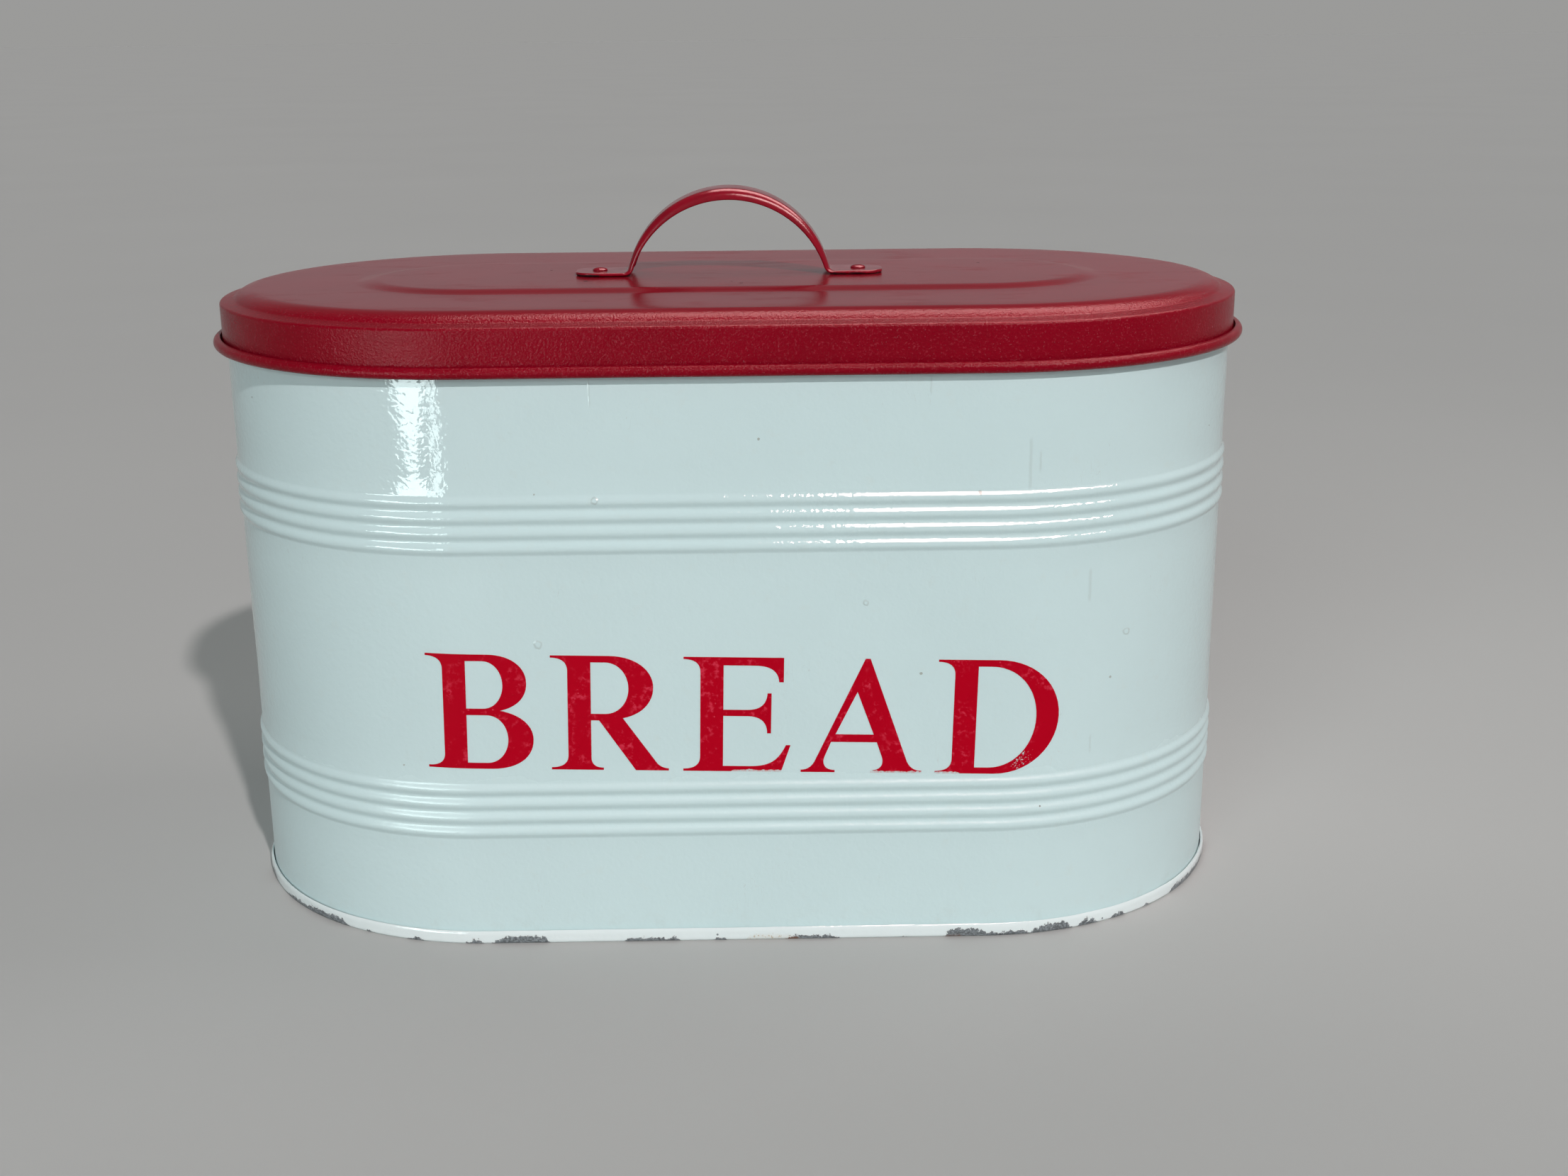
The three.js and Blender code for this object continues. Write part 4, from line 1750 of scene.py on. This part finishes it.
@dataclass(frozen=True)
class Capitals:
    """Plain upright roman capitals with bracketed serifs, each drawn from its lower left.

    Attributes:
        cap: The height of a capital.
        stem: The width of a stem.
        bar: The width of a thin stroke.
        serif: The thickness of a serif.
        serif_reach: How far a serif stands out from its stem.
        bracket: How high a serif's bracket climbs its stem.
    """

    cap: float = 37.4
    stem: float = 7.1
    bar: float = 2.1
    serif: float = 0.7
    serif_reach: float = 5.2
    bracket: float = 4.2

    @property
    def right(self) -> float:
        """The right side of a stem."""
        return self.serif_reach + self.stem

    def _stem_side(self) -> Outline:
        """Starts an outline with the left side of a stem, downwards."""
        cap, serif, left = self.cap, self.serif, self.serif_reach
        pen = Outline(0, cap).line((0, cap - serif))
        pen.curve((left, cap - serif), (left, cap - serif - self.bracket))
        pen.line((left, serif + self.bracket))
        return pen.curve((left, serif), (0, serif)).line((0, 0))

    @staticmethod
    def _bowl(pen: Outline, flat: float, widest: float, low: float, high: float) -> Outline:
        """Draws a bowl's edge upwards.

        Args:
            pen: The outline so far.
            flat: Where the curve starts and ends.
            widest: Its widest point.
            low: The height of its foot.
            high: The height of its top.

        Returns:
            The outline.
        """
        round_ = (widest - flat) * 0.56
        rise = (high - low) * 0.28
        middle = (low + high) / 2
        pen.line((flat, low)).curve((flat + round_, low), (widest, middle - rise), (widest, middle))
        return pen.curve((widest, middle + rise), (flat + round_, high), (flat, high))

    def _counter(self, flat: float, widest: float, low: float, high: float) -> list[Point]:
        """A counter inside a bowl, straight on the stem's side."""
        pen = self._bowl(Outline(self.right, low), flat, widest, low, high)
        return pen.line((self.right, high)).points

    def letter_b(self) -> list[list[Point]]:
        """The outlines of a B."""
        cap = self.cap
        pen = self._stem_side().line((20, 0)).curve((27.4, 0), (32.8, 3.6), (32.8, 9.8))
        pen.curve((32.8, 14.6), (28.8, 18), (22.6, 19.2))
        pen.curve((27.6, 20.4), (30.9, 23.4), (30.9, 28.2))
        pen.curve((30.9, 33.8), (26, cap), (19, cap))
        upper = self._counter(17.5, 23.6, 19.8, cap - self.bar)
        return [pen.points, self._counter(18.5, 25, 1.9, 17.7), upper]

    def letter_r(self) -> list[list[Point]]:
        """The outlines of an R."""
        cap, serif, right, waist = self.cap, self.serif, self.right, 16.4
        pen = self._stem_side().line((right + 3.8, 0), (right + 3.8, serif))
        pen.curve((right, serif), (right, serif + 3.4))
        pen.line((right, waist), (14.8, waist), (26.1, 0), (36.3, 0), (36.3, serif))
        pen.curve((33.9, 0.8), (32.6, 2.5)).line((22.1, 17.2))
        pen.curve((28, 18.4), (31.5, 22.4), (31.5, 27.3)).curve((31.5, 33), (26, cap), (18, cap))
        return [pen.points, self._counter(16.8, 23.9, waist + 2.1, cap - self.bar)]

    def letter_e(self) -> list[list[Point]]:
        """The outline of an E."""
        cap, right = self.cap, self.right
        pen = self._stem_side().line((30.4, 0), (33.2, 8.8), (31.8, 8.8))
        pen.curve((29.4, 3.6), (27, 1.7), (20.5, 1.7)).line((right, 1.7), (right, 18.3), (19.6, 18.3))
        pen.curve((23.6, 18.3), (25.9, 16.6), (25.9, 12.7))
        pen.line((27.1, 12.7), (27.1, 25.8), (25.9, 25.8))
        pen.curve((25.6, 22), (23.6, 20.3), (19.6, 20.3))
        pen.line((right, 20.3), (right, cap - 2.6), (22, cap - 2.6))
        pen.curve((26.8, cap - 2.6), (29.2, cap - 4.4), (29.4, cap - 7.9))
        return [pen.line((30.8, cap - 7.9), (30.8, cap)).points]

    def letter_a(self) -> list[list[Point]]:
        """The outlines of an A."""
        serif = self.serif
        pen = Outline(19.3, self.cap).line((4.3, 3.6)).curve((2.9, serif), (0, serif))
        pen.line((0, 0), (10.6, 0), (10.6, serif)).curve((7.6, serif), (6.4, 2.6), (7.4, 5.3))
        pen.line((9.3, 10.1), (23.5, 10.1), (25.2, 5.3)).curve((26, 2.8), (25, serif), (21.8, serif))
        pen.line((21.8, 0), (37.7, 0), (37.7, serif)).curve((34.4, serif), (33, 3.9))
        return [pen.line((20.8, self.cap)).points, [(17.1, 26.6), (10.6, 12.6), (22.5, 12.6)]]

    def letter_d(self) -> list[list[Point]]:
        """The outlines of a D."""
        pen = self._bowl(self._stem_side(), 18.5, 38.3, 0, self.cap)
        return [pen.points, self._counter(16.6, 31.1, 2, self.cap - self.bar)]


@dataclass
class Lettering:
    """The five letter transfers on the front of the wall.

    Attributes:
        wall: The wall that they lie on.
        centre: The middle of the word along X.
        baseline: The height of the baseline at the word's left end.
        slope: How the baseline runs, in degrees.
        lift: How far the film's back is from the wall.
        film: The film's thickness.
        cut: How far apart the lines are that let the film follow the wall.
        blank: The width and height that those lines cover.
        widths: Each letter's width and the gap after it.
        wear: How worn each letter is.
    """

    wall: Wall
    centre: float = 3.0
    baseline: float = 60.2
    slope: float = -1.5
    lift: float = 0.03
    film: float = 0.11
    cut: float = 2.6
    blank: Point = (39.0, 38.0)
    widths: dict[str, tuple[float, float]] = field(default_factory=lambda: {
        "b": (32.8, 5.5), "r": (36.3, 4.5), "e": (33.2, 3.3), "a": (37.7, 4.1), "d": (38.3, 0.0),
    })
    wear: dict[str, LetterWear] = field(default_factory=lambda: {
        "e": LetterWear(foot_from=-1.0, foot_to=17.0),
        "a": LetterWear(foot_from=33.0, foot_to=60.0),
        "d": LetterWear(foot_from=61.0, foot_to=70.5, speckle=(88.5, 61.0)),
    })

    @property
    def start(self) -> float:
        """The place along X of the word's left end."""
        return self.centre - sum(width + gap for width, gap in self.widths.values()) / 2

    def feet(self, across: float) -> float:
        """The height of the letters' feet at a place along X."""
        return self.baseline + (across - self.start) * math.tan(math.radians(self.slope))

    def _place(self, u: float, v: float, along: float) -> Point:
        """Where a point of a letter falls on the front.

        Args:
            u: How far right it is in the letter.
            v: How far up it is in the letter.
            along: How far along the baseline the letter starts.

        Returns:
            The place along X and Z.
        """
        angle = math.radians(self.slope)
        u += along
        return (
            self.start + u * math.cos(angle) - v * math.sin(angle),
            self.baseline + u * math.sin(angle) + v * math.cos(angle),
        )

    def _on_wall(self, x: float, z: float, lift: float) -> Vector:
        """The point over the wall's face at a place along X and Z, in metres."""
        flat = self.wall.oval.front(x, 0.0)
        offset = lift + self.wall.sway_offset(x, flat, z)
        return Vector((x, self.wall.oval.front(x, offset), z)) * MM

    def _letter(self, name: str, outlines: list[list[Point]], along: float) -> bpy.types.Object:
        """Cuts one letter from film and lays it on the wall.

        Args:
            name: The piece's name.
            outlines: Its outline and its counters.
            along: How far along the baseline it starts.

        Returns:
            The letter.
        """
        film = bmesh.new()
        edges = []
        for outline in outlines:
            corners = [film.verts.new((u, v, 0)) for u, v in outline]
            edges += [film.edges.new((a, b)) for a, b in zip(corners, corners[1:] + corners[:1])]
        bmesh.ops.triangle_fill(film, use_beauty=True, use_dissolve=False, edges=edges)
        for axis, reach in zip((Vector((1, 0, 0)), Vector((0, 1, 0))), self.blank):
            for i in range(1, int(reach / self.cut) + 1):
                geometry = film.verts[:] + film.edges[:] + film.faces[:]
                bmesh.ops.bisect_plane(
                    film, geom=geometry, dist=1e-4, plane_co=axis * self.cut * i, plane_no=axis
                )
        for face in film.faces:
            face.normal_update()
            if face.normal.z < 0:
                face.normal_flip()
        places = {v: self._place(v.co.x, v.co.y, along) for v in film.verts}
        for vertex, (x, z) in places.items():
            vertex.co = self._on_wall(x, z, self.lift + self.film)
        front = list(film.faces)
        copied = bmesh.ops.duplicate(film, geom=film.verts[:] + film.edges[:] + front)
        twins = copied["vert_map"]
        for vertex, (x, z) in places.items():
            twins[vertex].co = self._on_wall(x, z, self.lift)
        for face in [item for item in copied["geom"] if isinstance(item, bmesh.types.BMFace)]:
            face.normal_flip()
        for edge in [e for f in front for e in f.edges]:
            if sum(1 for f in edge.link_faces) == 1:
                a, b = edge.verts
                film.faces.new((a, b, twins[b], twins[a]))
        bmesh.ops.recalc_face_normals(film, faces=film.faces[:])
        mesh = bpy.data.meshes.new(name)
        film.to_mesh(mesh)
        film.free()
        return add_object(name, mesh)

    def build(self) -> list[Piece]:
        """Builds the five letters."""
        capitals = Capitals()
        finish = RedFilm()
        pieces = []
        along = 0.0
        for letter, (width, gap) in self.widths.items():
            node = f"letter_{letter}"
            shape = self._letter(f"transfer_{letter}", getattr(capitals, node)(), along)
            piece = Piece(shape, Body.BIN, (node,), Slot.RED_FILM)
            wear = self.wear.get(letter, LetterWear())
            piece.fit(finish.material(f"red_film_{letter}", wear, self.feet), sharp=30.0)
            pieces.append(piece)
            along += width + gap
        return pieces


# ---- Stage ----


def hang_light(name: str, kind: str, power: float, colour: Colour, shows: bool) -> bpy.types.Object:
    """Hangs a light.

    Args:
        name: Its name.
        kind: Its kind.
        power: Its power or strength.
        colour: Its colour.
        shows: Whether it shows in gloss.

    Returns:
        The light's object.
    """
    lamp = bpy.data.lights.new(name, kind)
    lamp.energy = power
    lamp.color = colour
    made = add_object(name, lamp)
    made.visible_glossy = shows
    return made


@dataclass(frozen=True)
class Softbox:
    """One area light.

    Attributes:
        name: Its name.
        place: Where it is, in metres.
        aim: The point that it faces.
        size: Its width and height.
        power: Its power, in watts.
        colour: Its colour.
        lights: Whether it lights what stands under it.
        shows: Whether it shows in gloss.
        lean: How far it is turned about its own axis, in degrees.
    """

    name: str
    place: tuple[float, float, float]
    aim: tuple[float, float, float]
    size: tuple[float, float]
    power: float
    colour: Colour
    lights: bool = False
    shows: bool = True
    lean: float = 0.0

    def build(self) -> None:
        """Hangs the light."""
        made = hang_light(self.name, "AREA", self.power, self.colour, self.shows)
        made.data.shape = "RECTANGLE"
        made.data.size, made.data.size_y = self.size
        made.location = self.place
        facing = (Vector(self.aim) - Vector(self.place)).to_track_quat("-Z", "Y")
        made.rotation_euler = (facing @ Quaternion((0, 0, 1), math.radians(self.lean))).to_euler()
        made.visible_camera = False
        made.visible_diffuse = self.lights


@dataclass(frozen=True)
class FarLight:
    """A light so far off that it lights everything alike. It doesn't show in gloss.

    Attributes:
        name: Its name.
        from_side: The direction that it comes from.
        strength: Its strength.
        width: How wide it looks, in degrees.
        colour: Its colour.
    """

    name: str
    from_side: tuple[float, float, float]
    strength: float
    width: float
    colour: Colour = (1.0, 1.0, 1.0)

    def build(self) -> None:
        """Hangs the light."""
        made = hang_light(self.name, "SUN", self.strength, self.colour, False)
        made.data.angle = math.radians(self.width)
        made.rotation_euler = Vector(self.from_side).to_track_quat("Z", "Y").to_euler()


@dataclass(frozen=True)
class Studio:
    """A plain pale floor and soft light.

    Attributes:
        floor_half: Half the floor's side, in metres.
        floor_colour: Its colour.
        sky: The stops of the surroundings' colour, from straight down to straight up.
        front_sky: How bright the surroundings are in front.
        back_sky: How bright they are at the back.
        left_dim: How much darker they are on the left.
        right_dim: How much darker they are on the right.
        suns: The lights that are far off.
        boxes: The softboxes.
    """

    floor_half: float = 40.0
    floor_colour: Colour = (0.56, 0.56, 0.55)
    sky: tuple[tuple[float, Colour], ...] = (
        (0.0, (0.30, 0.31, 0.31)),
        (0.5, (0.327, 0.3255, 0.3185)),
        (0.53, (0.331, 0.330, 0.332)),
        (0.60, (0.335, 0.335, 0.352)),
        (0.72, (0.17, 0.18, 0.18)),
        (1.0, (0.15, 0.16, 0.16)),
    )
    front_sky: float = 0.8
    back_sky: float = 1.0
    left_dim: float = 0.3
    right_dim: float = 0.25
    suns: tuple[FarLight, ...] = (
        FarLight("key", (0.31, -0.77, 0.62), 1.62, 2.0, (1.0, 0.94, 0.935)),
        FarLight("fill", (-0.42, -0.90, 0.37), 0.64, 24.0, (0.88, 1.0, 1.0)),
        FarLight("back", (-0.35, 0.80, 0.60), 0.45, 60.0),
    )
    boxes: tuple[Softbox, ...] = (
        Softbox("overhead", (0.33, 0.16, 0.92), (0.26, 0.16, 0.2), (0.98, 0.60), 25.0,
                (1.0, 0.70, 0.68), lean=90.0),
        Softbox("above", (0.45, 0.05, 0.72), (0.12, 0.0, 0.2), (0.3, 0.3), 0.9,
                (1.0, 0.97, 0.95), lights=True, shows=False),
        Softbox("sparkle", (0.75, -1.0, 1.15), (0.2, -0.08, 0.2), (1.5, 0.35), 44.0,
                (1.0, 0.74, 0.72)),
        Softbox("window_wide", (-0.458, -0.577, 0.17), (-0.09, -0.083, 0.13), (0.15, 0.36), 2.0,
                (0.84, 1.0, 1.0), lean=46.0),
        Softbox("window_narrow", (-0.294, -0.645, 0.17), (-0.09, -0.083, 0.13), (0.036, 0.36), 0.38,
                (0.84, 1.0, 1.0), lean=3.0),
    )

    def _floor(self) -> None:
        """Lays the floor."""
        side = self.floor_half / MM
        corners = [(-side, -side, 0), (side, -side, 0), (side, side, 0), (-side, side, 0)]
        floor = make_object("floor", corners, [(0, 1, 2, 3)])
        material, graph = new_material("pale_floor")
        cloud = graph.grain(graph.place(), 420.0, 3.0)
        darker = tuple(c * 0.95 for c in self.floor_colour)
        colour = graph.mix(cloud, self.floor_colour, darker)
        close_material(graph, {"Base Color": colour, "Roughness": 0.8, "Specular IOR Level": 0.0})
        floor.data.materials.append(material)

    def _sky(self) -> None:
        """Makes the pale surroundings."""
        world = bpy.data.worlds.new("surroundings")
        world.use_nodes = True
        graph = Graph(world.node_tree)
        direction = Value(graph, graph.node("ShaderNodeTexCoord").outputs["Generated"])
        side, back, up = graph.parts(direction)
        tint = graph.value("ShaderNodeValToRGB", {"stops": self.sky}, {"Fac": up * 0.5 + 0.5}, "Color")
        strength = self.front_sky + back.ramp(-0.3, 0.3) * (self.back_sky - self.front_sky)
        left, right = side.ramp(-0.40, -0.8) * self.left_dim, side.ramp(0.42, 0.8) * self.right_dim
        strength = strength * (1 - left - right)
        glow = graph.node("ShaderNodeBackground", None, {"Color": tint, "Strength": strength})
        graph.node("ShaderNodeOutputWorld", None, {"Surface": glow.outputs[0]})
        bpy.context.scene.world = world

    def build(self) -> None:
        """Builds the floor, the surroundings and the lights."""
        self._floor()
        self._sky()
        for light in (*self.suns, *self.boxes):
            light.build()
        bpy.context.scene.view_settings.view_transform = "Standard"


@dataclass(frozen=True)
class ViewPoint:
    """The camera: where it stands and how it is turned.

    Attributes:
        place: Where it stands, in metres.
        pitch: How far it looks down, in degrees.
        yaw: How far it looks to the right of +Y.
        roll: How far it is turned clockwise.
        lens: Its focal length, in millimetres.
        sensor: The width of its sensor.
    """

    place: tuple[float, float, float] = (0.00954, -0.62671, 0.28002)
    pitch: float = 16.673
    yaw: float = 0.694
    roll: float = 0.566
    lens: float = 43.10
    sensor: float = 36.0

    def build(self) -> None:
        """Sets the camera up."""
        pitch, yaw, roll = (math.radians(a) for a in (self.pitch, self.yaw, self.roll))
        flat = math.cos(pitch)
        ahead = Vector((math.sin(yaw) * flat, math.cos(yaw) * flat, -math.sin(pitch)))
        level = Vector((math.cos(yaw), -math.sin(yaw), 0))
        down = ahead.cross(level)
        right = level * math.cos(roll) + down * math.sin(roll)
        below = down * math.cos(roll) - level * math.sin(roll)
        turn = Matrix((right, -below, -ahead)).transposed().to_4x4()
        lens = bpy.data.cameras.new("camera")
        lens.lens = self.lens
        lens.sensor_width = self.sensor
        lens.clip_start = 0.01
        camera = add_object("camera", lens)
        camera.matrix_world = Matrix.Translation(Vector(self.place)) @ turn
        bpy.context.scene.camera = camera


# ---- The object ----


def main() -> None:
    """Builds the pieces in order, then the stage."""
    logging.basicConfig(level=logging.INFO, format="%(name)s: %(message)s")
    oval = Oval()
    wall = Wall(oval)
    lid = Lid(oval, seat=wall.top)
    strap = Strap(seat=lid.raised_top)
    rivets = Rivets(reach=strap.bend_x + strap.tab_length / 2)
    pieces = [wall.build(), BasePan(oval).build(), lid.build(rivets), strap.build(rivets)]
    tab_top = strap.tab_middle + strap.thickness / 2
    pieces += rivets.build(tab_top + rivets.head_gap, lid.raised_top - lid.sheet - rivets.tail_gap)
    pieces += Lettering(wall).build()
    Studio().build()
    ViewPoint().build()
    log.info("%d pieces", len(pieces))


if __name__ == "__main__":
    main()
